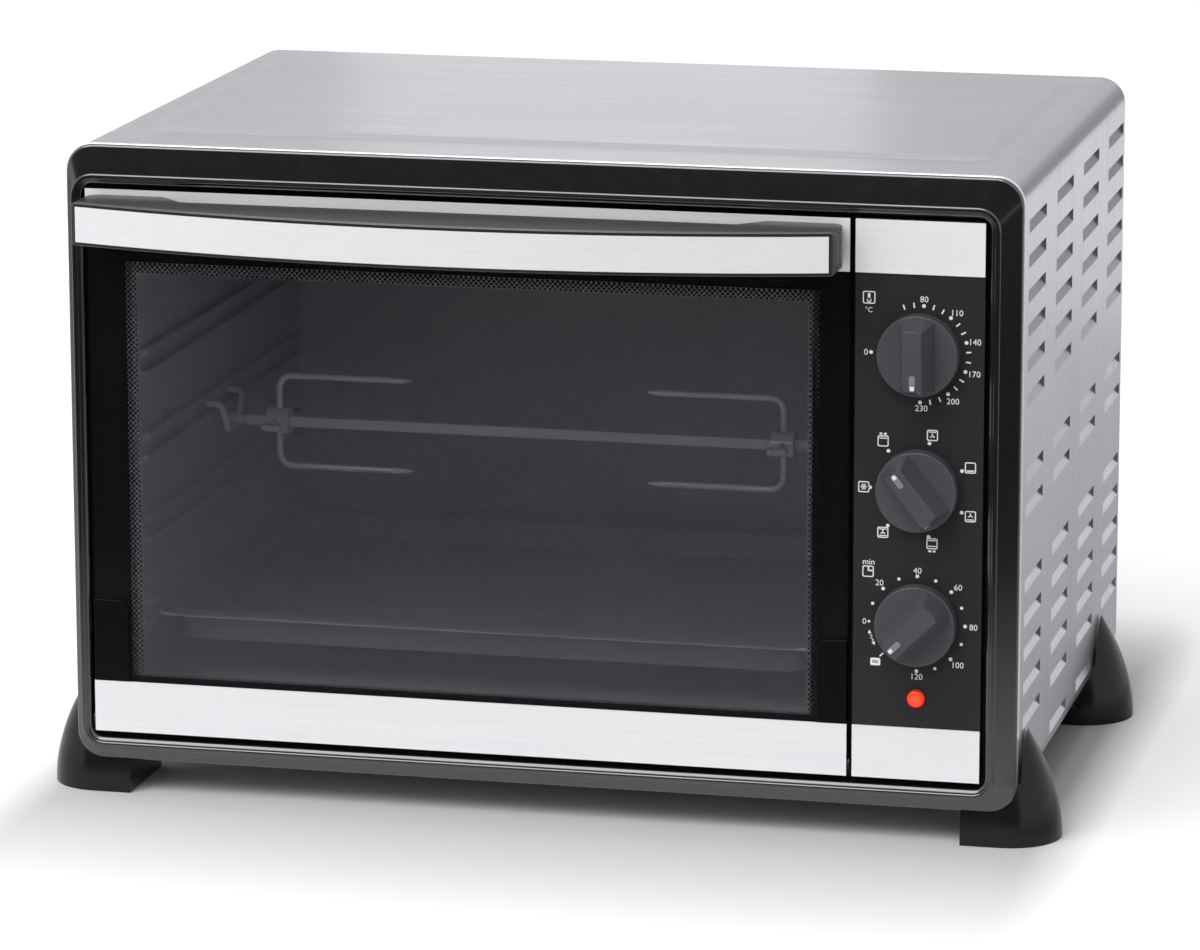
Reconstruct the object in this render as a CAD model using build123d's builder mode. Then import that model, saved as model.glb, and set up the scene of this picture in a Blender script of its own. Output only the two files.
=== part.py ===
from build123d import *
import os
from math import acos, cos, degrees, radians, sin, sqrt, tan

os.makedirs("parts", exist_ok=True)

# A countertop oven with a drop-down glass door and a rotisserie, in millimetres.
# +Z is up and -Y is the front. The origin lies on the table, under the middle of
# the outline over the feet and the handle.

# Case
body_w = 560.0  # over the louvred sides
body_d = 386.0  # face of the bezel to the back edge of the cover
body_h = 366.5  # without the feet
corner_r = 16.0  # rolled edges of the wrapped cover
sheet = 1.0  # steel sheet of case and chamber
edge_roll = 3.0  # turned-in front edge of the cover
lip_back = 5.0  # front edge of the cover behind the bezel's face, where the bezel laps over it
seat = 0.2  # clearance between fixed pieces that fit into one another
running = 0.05  # radial clearance of everything that turns

# Raised field pressed into the top
crown_h = 2.0
crown_side = 27.0
crown_front = 55.0
crown_rear = 26.0
crown_r = 20.0
crown_slope = 75.0

# Louvres pressed inwards in the sides with closed ends, in groups of rows below the top edge
louvre_l = 62.0
louvre_h = 7.5
louvre_in = 4.0
louvre_first = 53.0  # first column behind the bezel's face
louvre_col_pitch = 99.0
louvre_row_pitch = 20.0
louvre_groups = ((30.5, 6), (174.5, 2), (238.5, 5))  # first row below the top, rows
louvre_low = 20.0  # lowest row above the bottom, between the feet
louvre_edge = 4.0  # least metal between a louvre and the back edge

# Feet
foot_h = 20.0  # case above the table
foot_r = 31.0  # round outer end
foot_w = 54.0
foot_flare = 22.0  # past the side of the case
foot_front = 1.0  # behind the bezel's face
foot_rear = 44.0  # ahead of the back edge
foot_dome = ((0.97, 14.0), (0.885, 26.0), (0.745, 39.0), (0.58, 50.0))  # part of foot_r, height
fin_tip_r = 11.0
fin_h = 42.5  # tip of the fin above the bottom of the case
fin_gap = 1.5  # fin to the side of the case, above the rolled corner
foot_wall = 5.0
foot_draft = 18.0
foot_pocket = 14.0  # depth of the hollow under the foot
foot_screw_in = 11.0  # screw from the inner face of the foot

# Rear and base
rear_inset = 3.0
vent_l = 46.0
vent_h = 4.0
vent_pitch = 11.0
vent_rows = 7
vent_cols = 3
vent_col_pitch = 120.0
screw_r = 1.75
screw_head_r = 3.5
screw_head_h = 2.0
screw_l = 8.0
rear_screw_in = 14.0
gland_r = 8.0
gland_flange_r = 11.0
gland_flange_t = 2.5
gland_l = 12.0
gland_bore_r = 4.0
gland_in = 60.0
gland_up = 40.0

# Bezel round the door and the control panel
bezel_d = 12.0
bezel_top = 23.5
bezel_low = 14.0
bezel_left = 10.0
bezel_right = 19.0
bezel_open_r = 6.0
bezel_crest = 5.0  # ridge round the opening
bezel_ridge = 4.0
bezel_fall = 3.0  # outer edge behind the ridge
bezel_round = 1.8

# Door and control panel side by side in the bezel
panel_w = 73.8
panel_gap = 2.0
door_gap = 2.0
split_gap = 3.2
low_gap = 3.5
top_gap = 2.0
strip_h = 30.5  # steel strips at the top and bottom
strip_t = 1.0
glass_t = 4.0
door_frame_t = 5.0
door_frame_in = 3.0
window_side = 22.0
window_low = 33.5
window_top = 43.0
rail_h = 12.5
rail_round = 4.0

# Door hinge, stays and their stop
hinge_in = 5.5  # axis behind the bezel's face
hinge_up = 6.0  # axis above the lower edge of the door
pin_r = 2.0
pin_l = 12.0
ear_t = 1.0
ear_gap = 0.5
ear_r = 4.5
door_open = 82.0
stay_r = 60.0
stay_w = 8.0
stay_t = 2.0
stay_in = 11.5
stay_gap = 1.0
stay_tooth = 4.0
stay_tail = 8.0  # degrees of the tooth
stop_gap = 0.5

# Handle
handle_reach = 64.0
handle_end_reach = 34.0
handle_in = 3.0
handle_drop = 15.0
handle_h = 23.5
handle_wall = 3.0
grip_gap = 15.0
post_w = 44.0
post_round = 8.0
facing_h = 20.5
facing_in = 2.3
facing_t = 1.2
facing_proud = 0.4
handle_screw_r = 2.0
handle_screw_head_r = 3.5
handle_screw_head_h = 2.2
handle_screw_bite = 14.0

# Oven chamber behind the door
overlap_side = 23.0  # door over the edge of the mouth
overlap_low = 22.5
overlap_top = 23.0
chamber_d = 345.0
rail_first = 39.0  # lowest shelf above the chamber floor
rail_pitch = 50.0
rail_count = 4
rail_in = 5.0
rail_t = 5.0
rail_slot = 8.0  # free height between the two ribs of a shelf
rail_ends = 14.0  # plain wall ahead of and behind the rails
tray_gap = 2.0
tray_deep = 16.0
tray_rim = 10.0
tray_t = 1.0
tray_front = 30.0  # rim behind the mouth
tray_l = 290.0
tray_r = 14.0

# Heaters
heater_r = 3.25
heater_drop = 18.0
heater_rise = 16.0
heater_front = 75.0
heater_span = 190.0
heater_end = 28.0  # bend away from the left wall
heater_bend = 22.0
heater_tail = 14.0  # cold end past the right wall
bush_r = 6.0
bush_flange_r = 8.5
bush_flange_t = 3.0
bush_l = 9.0

# Spit
spit_back = 167.0  # axis behind the mouth
spit_up = 130.0  # axis above the chamber floor
spit_a = 6.0  # square bar
spit_end_r = 3.0
spit_end_l = 14.0
spit_wall_gap = 5.0
fork_hub_r = 8.0
fork_hub_l = 14.0
fork_arm = 28.0
fork_wire_r = 2.0
fork_bend = 8.0
fork_prong = 78.0
fork_inset = 34.0
thumb_r = 2.5
thumb_l = 14.0
thumb_head_r = 6.0
thumb_head_t = 3.0
rest_wire_r = 2.0
rest_out = 9.0
rest_gap = 0.3
rest_half = 11.0
rest_foot = 22.0
rest_rise = 13.0  # between the two ribs of a shelf
rest_bend = 5.0
coupling_r = 11.0
coupling_l = 26.0
coupling_grip = 16.0
coupling_hole_gap = 1.0
drive_r = 4.0
drive_l = 14.0
motor_a = 58.0
motor_d = 38.0
motor_round = 6.0

# Fan in a well behind the right wall
fan_back = 262.0
fan_up = 188.0
fan_r = 42.0
fan_d = 14.0
fan_blades = 8
fan_blade_t = 1.2
fan_pitch = 35.0
fan_hub_r = 11.0
fan_gap = 3.0  # wheel from the wall and from the bottom of the well
fan_shaft_r = 2.5
fan_shaft_l = 16.0
fan_hole_gap = 1.0
fan_motor_a = 54.0
fan_motor_d = 34.0
well_gap = 5.0
well_flange = 8.0
guard_proud = 3.0
guard_slots = 12
guard_slot_w = 6.0
guard_slot_in = 14.0
guard_slot_edge = 4.0

# Knobs, their switches and the lamp
knob_top = 265.0  # first knob above the bottom of the case
knob_pitch = 78.0
knob_r = 23.5
knob_rim = 8.0
knob_rim_taper = 3.0
knob_bar_h = 16.0
knob_bar_w = 20.4
knob_bar_taper = 16.4
knob_bar_in = 0.5
knob_edge = 0.8
knob_gap = 0.8
knob_hollow = 5.0
knob_hollow_r = 20.0
knob_boss_r = 7.0
pointer_w = 3.4
pointer_l = 9.0
pointer_t = 1.6
pointer_proud = 0.2
pointer_in = 0.6  # from the end of the bar's top
shaft_r = 3.0
shaft_grip = 14.0
shaft_deep = 12.0
shaft_hole_gap = 0.6
panel_t = 2.0
panel_wall = 2.0
switch_window = 52.0
thermostat_a = 38.0
thermostat_d = 26.0
selector_r = 22.0
selector_d = 24.0
timer_r = 23.0
timer_d = 32.0
bush_neck_r = 6.0
bush_neck_l = 3.0
lens_up = 65.3
lens_r = 5.25
lens_dome = 2.2
lens_rim = 0.8
lens_shank_r = 4.4
lens_shank_l = 14.0

# Pointer angles at rest, counted from +X towards +Z as the user sees them
temperature_angle = -89.0
function_angle = 128.6
timer_angle = -135.0

# Places that follow from the sizes above
half_w = body_w / 2
face_y = (handle_reach - body_d) / 2
rear_y = face_y + body_d
base_z = foot_h
top_z = base_z + body_h
mid_z = base_z + body_h / 2
lip_y = face_y + lip_back
seam_z = top_z - corner_r

open_x0 = -half_w + bezel_left
open_x1 = half_w - bezel_right
open_z0 = base_z + bezel_low
open_z1 = top_z - bezel_top
panel_x1 = open_x1 - panel_gap
panel_x0 = panel_x1 - panel_w
panel_x = (panel_x0 + panel_x1) / 2
door_x0 = open_x0 + door_gap
door_x1 = panel_x0 - split_gap
door_x = (door_x0 + door_x1) / 2
door_w = door_x1 - door_x0
door_z0 = open_z0 + low_gap
door_z1 = open_z1 - top_gap
door_h = door_z1 - door_z0

glass_y = face_y + strip_t
glass_back = glass_y + glass_t
door_back = glass_back + door_frame_t
frame_y = face_y + bezel_d
rail_top = door_z0 + rail_h
pin_y = face_y + hinge_in
pin_z = door_z0 + hinge_up

mouth_x0 = door_x0 + overlap_side
mouth_x1 = door_x1 - overlap_side
mouth_z0 = door_z0 + overlap_low
mouth_z1 = door_z1 - overlap_top
mouth_x = (mouth_x0 + mouth_x1) / 2
mouth_z = (mouth_z0 + mouth_z1) / 2
mouth_w = mouth_x1 - mouth_x0
mouth_h = mouth_z1 - mouth_z0
chamber_y0 = frame_y + sheet
chamber_y1 = chamber_y0 + chamber_d
chamber_y = (chamber_y0 + chamber_y1) / 2
right_out = mouth_x1 + sheet
well_r = fan_r + well_gap
guard_r = well_r + sheet + well_flange

spit_y = chamber_y0 + spit_back
spit_z = mouth_z0 + spit_up
fan_y = chamber_y0 + fan_back
fan_z = mouth_z0 + fan_up
upper_z = mouth_z1 - heater_drop
lower_z = mouth_z0 + heater_rise
heater_y0 = chamber_y0 + heater_front
heater_y1 = heater_y0 + heater_span
tray_z = mouth_z0 + rail_first

panel_y = glass_y
panel_back = panel_y + panel_t
knob_y = panel_y - knob_gap
knob_zs = [base_z + knob_top - i * knob_pitch for i in range(3)]
handle_x0 = door_x0 + handle_in
handle_x1 = door_x1 - handle_in
handle_z = door_z1 - handle_drop
handle_z0 = handle_z - handle_h / 2
case_fit = sheet + seat
inner_w = body_w - 2 * case_fit
inner_h = body_h - 2 * case_fit


def facing(y):
    return Plane.XZ.offset(-y)


def across(x):
    return Plane.YZ.offset(x)


def level(z):
    return Plane.XY.offset(z)


def case_ring(wall):
    with Locations((0, mid_z)):
        RectangleRounded(body_w, body_h, corner_r)
        RectangleRounded(
            body_w - 2 * wall, body_h - 2 * wall, corner_r - wall, mode=Mode.SUBTRACT
        )


# The wrapped cover is thick at its rolled front edge and plain sheet behind it
cover_bands = (
    (lip_y, edge_roll, edge_roll),
    (lip_y + edge_roll, sheet, rear_y - lip_y - edge_roll),
)
crown_y = (face_y + crown_front + rear_y - crown_rear) / 2
crown_w = body_w - 2 * crown_side
crown_d = body_d - crown_front - crown_rear

with BuildPart() as cover_top:
    for band_y, wall, depth in cover_bands:
        with BuildSketch(facing(band_y)):
            case_ring(wall)
            with Locations((0, top_z)):
                Rectangle(body_w, 2 * corner_r, mode=Mode.INTERSECT)
        extrude(amount=-depth)
    front_edges = cover_top.faces().sort_by(Axis.Y)[0].edges()
    rounded = front_edges.filter_by(GeomType.CIRCLE).sort_by(SortBy.RADIUS)[-2:]
    rounded += front_edges.filter_by(Axis.X).sort_by(Axis.Z)[-1:]
    fillet(rounded, edge_roll * 0.8)
    with BuildSketch(level(top_z)):
        with Locations((0, crown_y)):
            RectangleRounded(crown_w, crown_d, crown_r)
    extrude(amount=crown_h, taper=crown_slope)
    with BuildSketch(level(top_z - sheet)):
        with Locations((0, crown_y)):
            RectangleRounded(crown_w - sheet, crown_d - sheet, crown_r - sheet / 2)
    extrude(amount=crown_h, taper=crown_slope, mode=Mode.SUBTRACT)
cover_top.part.label = "cover_top"
export_step(cover_top.part, "parts/cover_top.step")

# Columns that fit before the back edge, and rows down to the lowest one between the feet
col_room = body_d - louvre_first - louvre_l / 2 - louvre_edge
louvre_cols = [
    face_y + louvre_first + i * louvre_col_pitch for i in range(int(col_room // louvre_col_pitch) + 1)
]
louvre_low_z = base_z + louvre_low
louvre_rows = [
    top_z - start - i * louvre_row_pitch for start, rows in louvre_groups for i in range(rows)
]
louvre_rows = [z for z in louvre_rows if z > louvre_low_z + louvre_row_pitch]

for side, name in ((-1, "side_panel_left"), (1, "side_panel_right")):
    side_x = side * half_w
    with BuildPart() as side_panel:
        for band_y, wall, depth in cover_bands:
            with BuildSketch(facing(band_y)):
                case_ring(wall)
                with Locations((side_x, (base_z + seam_z) / 2)):
                    Rectangle(2 * corner_r, seam_z - base_z, mode=Mode.INTERSECT)
            extrude(amount=-depth)
        front_edges = side_panel.faces().sort_by(Axis.Y)[0].edges()
        rounded = front_edges.filter_by(GeomType.CIRCLE).sort_by(SortBy.RADIUS)[-1:]
        rounded += front_edges.filter_by(Axis.Z).sort_by(Axis.X)[-(side + 1) // 2 :][:1]
        fillet(rounded, edge_roll * 0.8)
        for col, col_y in enumerate(louvre_cols):
            rows = list(louvre_rows)
            if 0 < col < len(louvre_cols) - 1:
                rows.append(louvre_low_z)
            with BuildSketch(across(side_x)):
                with Locations(*[(col_y, z) for z in rows]):
                    Rectangle(louvre_l, louvre_h)
            extrude(amount=-side * sheet, mode=Mode.SUBTRACT)
            with BuildSketch(facing(col_y - louvre_l / 2)):
                for z in rows:
                    low = z - louvre_h / 2
                    high = z + louvre_h / 2
                    skin = side_x - side * sheet
                    with BuildLine():
                        Polyline(
                            (side_x, low),
                            (side_x - side * louvre_in, high),
                            (skin - side * louvre_in, high),
                            (skin, low),
                            close=True,
                        )
                    make_face()
            extrude(amount=-louvre_l)
            for end_y in (col_y - louvre_l / 2, col_y + louvre_l / 2 - sheet):
                with BuildSketch(facing(end_y)):
                    for z in rows:
                        low = z - louvre_h / 2
                        high = z + louvre_h / 2
                        with BuildLine():
                            Polyline(
                                (side_x, low),
                                (side_x - side * louvre_in, high),
                                (side_x, high),
                                close=True,
                            )
                        make_face()
                extrude(amount=-sheet)
    side_panel.part.label = name
    export_step(side_panel.part, f"parts/{name}.step")

base_vent_y = (face_y + rear_y) / 2
foot_x = half_w + foot_flare - foot_r
foot_ys = {"front": face_y + foot_front + foot_r, "rear": rear_y - foot_rear - foot_r}
foot_screw_x = half_w + foot_flare - foot_w + foot_screw_in
foot_screws = [(side * foot_screw_x, y) for side in (-1, 1) for y in foot_ys.values()]

with BuildPart() as base_plate:
    for band_y, wall, depth in cover_bands:
        with BuildSketch(facing(band_y)):
            case_ring(wall)
            with Locations((0, base_z)):
                Rectangle(body_w - 2 * corner_r, 2 * corner_r, mode=Mode.INTERSECT)
        extrude(amount=-depth)
    with BuildSketch(level(base_z)):
        with Locations((0, base_vent_y)):
            with GridLocations(vent_col_pitch, vent_pitch, vent_cols, vent_rows):
                Rectangle(vent_l, vent_h)
        with Locations(*foot_screws):
            Circle(screw_r)
    extrude(amount=sheet, mode=Mode.SUBTRACT)
base_plate.part.label = "base_plate"
export_step(base_plate.part, "parts/base_plate.step")

rear_back = rear_y - rear_inset
rear_vent_z = top_z - body_h / 3
gland_x = half_w - gland_in
gland_z = base_z + gland_up
rear_x = half_w - rear_screw_in
rear_screws = [
    (x, z)
    for x in (-rear_x, 0, rear_x)
    for z in (base_z + rear_screw_in + corner_r, top_z - rear_screw_in - corner_r)
]

with BuildPart() as rear_panel:
    with BuildSketch(facing(rear_back)):
        with Locations((0, mid_z)):
            RectangleRounded(inner_w, inner_h, corner_r - case_fit)
        with Locations((0, rear_vent_z)):
            with GridLocations(vent_col_pitch, vent_pitch, vent_cols, vent_rows):
                Rectangle(vent_l, vent_h, mode=Mode.SUBTRACT)
        with Locations(*rear_screws):
            Circle(screw_r, mode=Mode.SUBTRACT)
        with Locations((gland_x, gland_z)):
            Circle(gland_r + seat, mode=Mode.SUBTRACT)
    extrude(amount=sheet)
rear_panel.part.label = "rear_panel"
export_step(rear_panel.part, "parts/rear_panel.step")

with BuildPart() as cord_gland:
    with BuildSketch(facing(rear_back)):
        with Locations((gland_x, gland_z)):
            Circle(gland_flange_r)
    extrude(amount=-gland_flange_t)
    with BuildSketch(facing(rear_back)):
        with Locations((gland_x, gland_z)):
            Circle(gland_r)
    extrude(amount=gland_l)
    with BuildSketch(facing(rear_back + gland_flange_t)):
        with Locations((gland_x, gland_z)):
            Circle(gland_bore_r)
    extrude(amount=gland_l + gland_flange_t, mode=Mode.SUBTRACT)
cord_gland.part.label = "cord_gland"
export_step(cord_gland.part, "parts/cord_gland.step")

# Each foot is a block under the case with half a dome at its outer end, less the case that it holds
tip_z = base_z + fin_h
block_w = foot_w - foot_r
foot_curve = [(foot_r, 0), *[(part * foot_r, z) for part, z in foot_dome], (fin_tip_r, tip_z)]
for place, foot_y in foot_ys.items():
    for side, hand in ((-1, "left"), (1, "right")):
        dome_x = side * foot_x
        with BuildPart() as foot:
            with BuildSketch(across(dome_x)):
                with BuildLine():
                    Spline(*[(foot_y + r, z) for r, z in foot_curve])
                    Spline(*[(foot_y - r, z) for r, z in foot_curve])
                    Line((foot_y - foot_r, 0), (foot_y + foot_r, 0))
                    Line((foot_y - fin_tip_r, tip_z), (foot_y + fin_tip_r, tip_z))
                make_face()
            extrude(amount=-side * block_w)
            with BuildSketch(across(dome_x)):
                with BuildLine():
                    Spline(*[(foot_y + r, z) for r, z in foot_curve])
                    Polyline((foot_y + fin_tip_r, tip_z), (foot_y, tip_z), (foot_y, 0), (foot_y + foot_r, 0))
                make_face()
            revolve(axis=Axis((dome_x, foot_y, 0), (0, 0, -side)), revolution_arc=180)
            with BuildSketch(facing(foot_y - foot_r)):
                with Locations((0, mid_z)):
                    RectangleRounded(body_w, body_h, corner_r)
                with Locations((0, mid_z + corner_r)):
                    Rectangle(body_w + 2 * fin_gap, body_h)
            extrude(amount=-2 * foot_r, mode=Mode.SUBTRACT)
            with BuildSketch(level(0)):
                with Locations((dome_x, foot_y)):
                    Circle(foot_r - foot_wall)
                with Locations((dome_x - side * foot_r / 2, foot_y)):
                    Rectangle(foot_r, 2 * foot_r, mode=Mode.SUBTRACT)
                with Locations((dome_x - side * (block_w - foot_wall) / 2, foot_y)):
                    Rectangle(block_w - foot_wall, 2 * (foot_r - foot_wall))
            extrude(amount=foot_pocket, taper=foot_draft, mode=Mode.SUBTRACT)
            with BuildSketch(level(0)):
                with Locations((side * foot_screw_x, foot_y)):
                    Circle(screw_head_r + seat)
            extrude(amount=foot_pocket, mode=Mode.SUBTRACT)
            with BuildSketch(level(0)):
                with Locations((side * foot_screw_x, foot_y)):
                    Circle(screw_r)
            extrude(amount=base_z, mode=Mode.SUBTRACT)
        foot.part.label = f"foot_{place}_{hand}"
        export_step(foot.part, f"parts/foot_{place}_{hand}.step")

foot_head_z = foot_pocket - screw_head_h
foot_screw_l = base_z - foot_pocket + screw_l / 2

with BuildPart() as case_screws:
    with BuildSketch(facing(rear_back)):
        with Locations(*rear_screws):
            Circle(screw_head_r)
    extrude(amount=-screw_head_h)
    with BuildSketch(facing(rear_back)):
        with Locations(*rear_screws):
            Circle(screw_r)
    extrude(amount=screw_l)
    with BuildSketch(level(foot_head_z)):
        with Locations(*foot_screws):
            Circle(screw_head_r)
    extrude(amount=screw_head_h)
    with BuildSketch(level(foot_pocket)):
        with Locations(*foot_screws):
            Circle(screw_r)
    extrude(amount=foot_screw_l)
case_screws.part.label = "case_screws"
export_step(case_screws.part, "parts/case_screws.step")

# The bezel laps over the cover's edge and rises to a ridge round its opening
bezel_fit = edge_roll + seat
open_w = open_x1 - open_x0
open_h = open_z1 - open_z0
open_at = ((open_x0 + open_x1) / 2, (open_z0 + open_z1) / 2)

with BuildPart() as front_bezel:
    with BuildSketch(facing(face_y + bezel_fall)) as edge:
        with Locations((0, mid_z)):
            RectangleRounded(body_w, body_h, corner_r)
    extrude(amount=bezel_fall - lip_back)
    with BuildSketch(facing(face_y)) as ridge:
        with Locations(open_at):
            RectangleRounded(
                open_w + 2 * bezel_crest, open_h + 2 * bezel_crest, bezel_open_r + bezel_crest
            )
    loft([edge.sketch, ridge.sketch], ruled=True)
    with BuildSketch(facing(lip_y)):
        with Locations((0, mid_z)):
            RectangleRounded(body_w - 2 * bezel_fit, body_h - 2 * bezel_fit, corner_r - bezel_fit)
    extrude(amount=lip_back - bezel_d)
    with BuildSketch(facing(face_y)):
        with Locations(open_at):
            RectangleRounded(open_w, open_h, bezel_open_r)
    extrude(amount=-bezel_d, mode=Mode.SUBTRACT)
    fillet(front_bezel.faces().sort_by(Axis.Y)[0].inner_wires()[0].edges(), bezel_ridge)
    rim = [e for e in front_bezel.edges() if abs(e.center().Y - face_y - bezel_fall) < seat]
    fillet(rim, bezel_round)
front_bezel.part.label = "front_bezel"
export_step(front_bezel.part, "parts/front_bezel.step")

# The stays are quarter rings about the hinge, so each runs through a slot no wider than itself
stay_ro = stay_r + stay_w / 2
stay_ri = stay_r - stay_w / 2
stay_xs = {"left": door_x0 + stay_in, "right": door_x1 - stay_in}
slot_far = chamber_y0 - pin_y
slot_near = frame_y - pin_y
slot_z0 = pin_z + sqrt(stay_ri**2 - slot_far**2) - stay_gap
slot_z1 = pin_z + sqrt(stay_ro**2 - slot_near**2) + stay_gap
ears = {"left": (door_x0 - ear_gap - ear_t, 1), "right": (door_x1 + ear_gap + ear_t, -1)}

with BuildPart() as front_frame:
    with BuildSketch(facing(frame_y)):
        with Locations((0, mid_z)):
            RectangleRounded(inner_w, inner_h, corner_r - case_fit)
        with Locations((mouth_x, mouth_z)):
            Rectangle(mouth_w, mouth_h, mode=Mode.SUBTRACT)
        with Locations((panel_x, knob_zs[1])):
            Rectangle(switch_window, 2 * knob_pitch + switch_window, mode=Mode.SUBTRACT)
        with Locations((panel_x, base_z + lens_up)):
            Circle(lens_r, mode=Mode.SUBTRACT)
        with Locations(*[(x, (slot_z0 + slot_z1) / 2) for x in stay_xs.values()]):
            Rectangle(stay_t + 2 * stay_gap, slot_z1 - slot_z0, mode=Mode.SUBTRACT)
    extrude(amount=-sheet)
    for ear_x, inward in ears.values():
        with BuildSketch(across(ear_x)):
            with Locations(((pin_y + frame_y) / 2, pin_z)):
                Rectangle(frame_y - pin_y, 2 * ear_r)
            with Locations((pin_y, pin_z)):
                Circle(ear_r)
                Circle(pin_r, mode=Mode.SUBTRACT)
        extrude(amount=inward * ear_t)
front_frame.part.label = "front_frame"
export_step(front_frame.part, "parts/front_frame.step")

with BuildPart() as hinge_pins:
    for ear_x, inward in ears.values():
        with BuildSketch(across(ear_x)):
            with Locations((pin_y, pin_z)):
                Circle(pin_r)
        extrude(amount=inward * pin_l)
hinge_pins.part.label = "hinge_pins"
export_step(hinge_pins.part, "parts/hinge_pins.step")

# Chamber walls with a pair of pressed ribs for each shelf
shelf_zs = [tray_z + i * rail_pitch for i in range(rail_count)]
rib_y0 = chamber_y0 + rail_ends
rib_l = chamber_d - 2 * rail_ends
heater_places = [(y, z) for y in (heater_y0, heater_y1) for z in (lower_z, upper_z)]

for side, name in ((-1, "chamber_left_wall"), (1, "chamber_right_wall")):
    wall_x = mouth_x0 if side < 0 else mouth_x1
    with BuildPart() as chamber_wall:
        with BuildSketch(across(wall_x)):
            with Locations((chamber_y, mouth_z)):
                Rectangle(chamber_d, mouth_h)
        extrude(amount=side * sheet)
        with BuildSketch(facing(rib_y0)):
            for shelf_z in shelf_zs:
                for top in (shelf_z, shelf_z + rail_slot + rail_t):
                    with BuildLine():
                        Polyline(
                            (wall_x, top),
                            (wall_x - side * rail_in, top),
                            (wall_x - side * rail_in, top - rail_t / 2),
                            (wall_x, top - rail_t),
                            close=True,
                        )
                    make_face()
        extrude(amount=-rib_l)
        if side > 0:
            with BuildSketch(across(wall_x)):
                with Locations((spit_y, spit_z)):
                    Circle(coupling_r + coupling_hole_gap)
                with Locations((fan_y, fan_z)):
                    Circle(fan_r)
                with Locations(*heater_places):
                    Circle(bush_r + seat)
            extrude(amount=sheet, mode=Mode.SUBTRACT)
            with BuildSketch(across(wall_x)):
                with Locations((spit_y, spit_z)):
                    Circle(coupling_r + coupling_hole_gap)
                with Locations((fan_y, fan_z)):
                    Circle(guard_r)
            extrude(amount=-rail_in, mode=Mode.SUBTRACT)
    chamber_wall.part.label = name
    export_step(chamber_wall.part, f"parts/{name}.step")

for name, wall_z, up in (("chamber_roof", mouth_z1, 1), ("chamber_floor", mouth_z0, -1)):
    with BuildPart() as chamber_plate:
        with BuildSketch(level(wall_z)):
            with Locations((mouth_x, chamber_y)):
                Rectangle(mouth_w + 2 * sheet, chamber_d)
        extrude(amount=up * sheet)
    chamber_plate.part.label = name
    export_step(chamber_plate.part, f"parts/{name}.step")

with BuildPart() as chamber_rear_wall:
    with BuildSketch(facing(chamber_y1)):
        with Locations((mouth_x, mouth_z)):
            Rectangle(mouth_w + 2 * sheet, mouth_h + 2 * sheet)
    extrude(amount=-sheet)
chamber_rear_wall.part.label = "chamber_rear_wall"
export_step(chamber_rear_wall.part, "parts/chamber_rear_wall.step")

tray_w = mouth_w - 2 * tray_gap
tray_y = chamber_y0 + tray_front + tray_l / 2
pan_w = tray_w - 2 * tray_rim
pan_l = tray_l - 2 * tray_rim

with BuildPart() as drip_tray:
    with BuildSketch(level(tray_z)):
        with Locations((mouth_x, tray_y)):
            RectangleRounded(tray_w, tray_l, tray_r)
    extrude(amount=tray_t)
    with BuildSketch(level(tray_z)):
        with Locations((mouth_x, tray_y)):
            RectangleRounded(pan_w, pan_l, tray_r)
    extrude(amount=-tray_deep)
    with BuildSketch(level(tray_z + tray_t)):
        with Locations((mouth_x, tray_y)):
            RectangleRounded(pan_w - 2 * tray_t, pan_l - 2 * tray_t, tray_r - tray_t)
    extrude(amount=-tray_deep, mode=Mode.SUBTRACT)
drip_tray.part.label = "drip_tray"
export_step(drip_tray.part, "parts/drip_tray.step")

# Each heater is one tube, bent into a U that opens to the right wall
for name, heater_z in (("upper_heater", upper_z), ("lower_heater", lower_z)):
    heater_x0 = mouth_x0 + heater_end
    heater_x1 = right_out + heater_tail
    with BuildPart() as heater:
        with BuildLine() as bend:
            FilletPolyline(
                (heater_x1, heater_y0, heater_z),
                (heater_x0, heater_y0, heater_z),
                (heater_x0, heater_y1, heater_z),
                (heater_x1, heater_y1, heater_z),
                radius=heater_bend,
            )
        with BuildSketch(Plane(origin=bend.line @ 0, z_dir=bend.line % 0)):
            Circle(heater_r)
        sweep()
    heater.part.label = name
    export_step(heater.part, f"parts/{name}.step")

with BuildPart() as heater_bushes:
    with BuildSketch(across(mouth_x1)):
        with Locations(*heater_places):
            Circle(bush_flange_r)
    extrude(amount=-bush_flange_t)
    with BuildSketch(across(mouth_x1)):
        with Locations(*heater_places):
            Circle(bush_r)
    extrude(amount=bush_l)
    with BuildSketch(across(mouth_x1 - bush_flange_t)):
        with Locations(*heater_places):
            Circle(heater_r + running)
    extrude(amount=bush_l + bush_flange_t, mode=Mode.SUBTRACT)
heater_bushes.part.label = "heater_bushes"
export_step(heater_bushes.part, "parts/heater_bushes.step")

# Spit: the coupling runs in its motor behind the right wall, the far end lies in a wire rest
spit_x0 = mouth_x0 + spit_wall_gap
coupling_x1 = mouth_x1 + coupling_l - coupling_grip - sheet
coupling_x0 = coupling_x1 - coupling_l
spit_x1 = coupling_x0 + coupling_grip

with BuildPart() as spit_motor:
    motor_x0 = coupling_x1 + coupling_hole_gap
    with BuildSketch(across(motor_x0)):
        with Locations((spit_y, spit_z)):
            RectangleRounded(motor_a, motor_a, motor_round)
    extrude(amount=motor_d)
    with BuildSketch(across(motor_x0)):
        with Locations((spit_y, spit_z)):
            with GridLocations(motor_a - 2 * motor_round, motor_a - 2 * motor_round, 2, 2):
                Circle(motor_round)
    extrude(amount=right_out - motor_x0)
    with BuildSketch(across(motor_x0)):
        with Locations((spit_y, spit_z)):
            Circle(drive_r + running)
    extrude(amount=drive_l, mode=Mode.SUBTRACT)
spit_motor.part.label = "spit_motor"
export_step(spit_motor.part, "parts/spit_motor.step")

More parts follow.
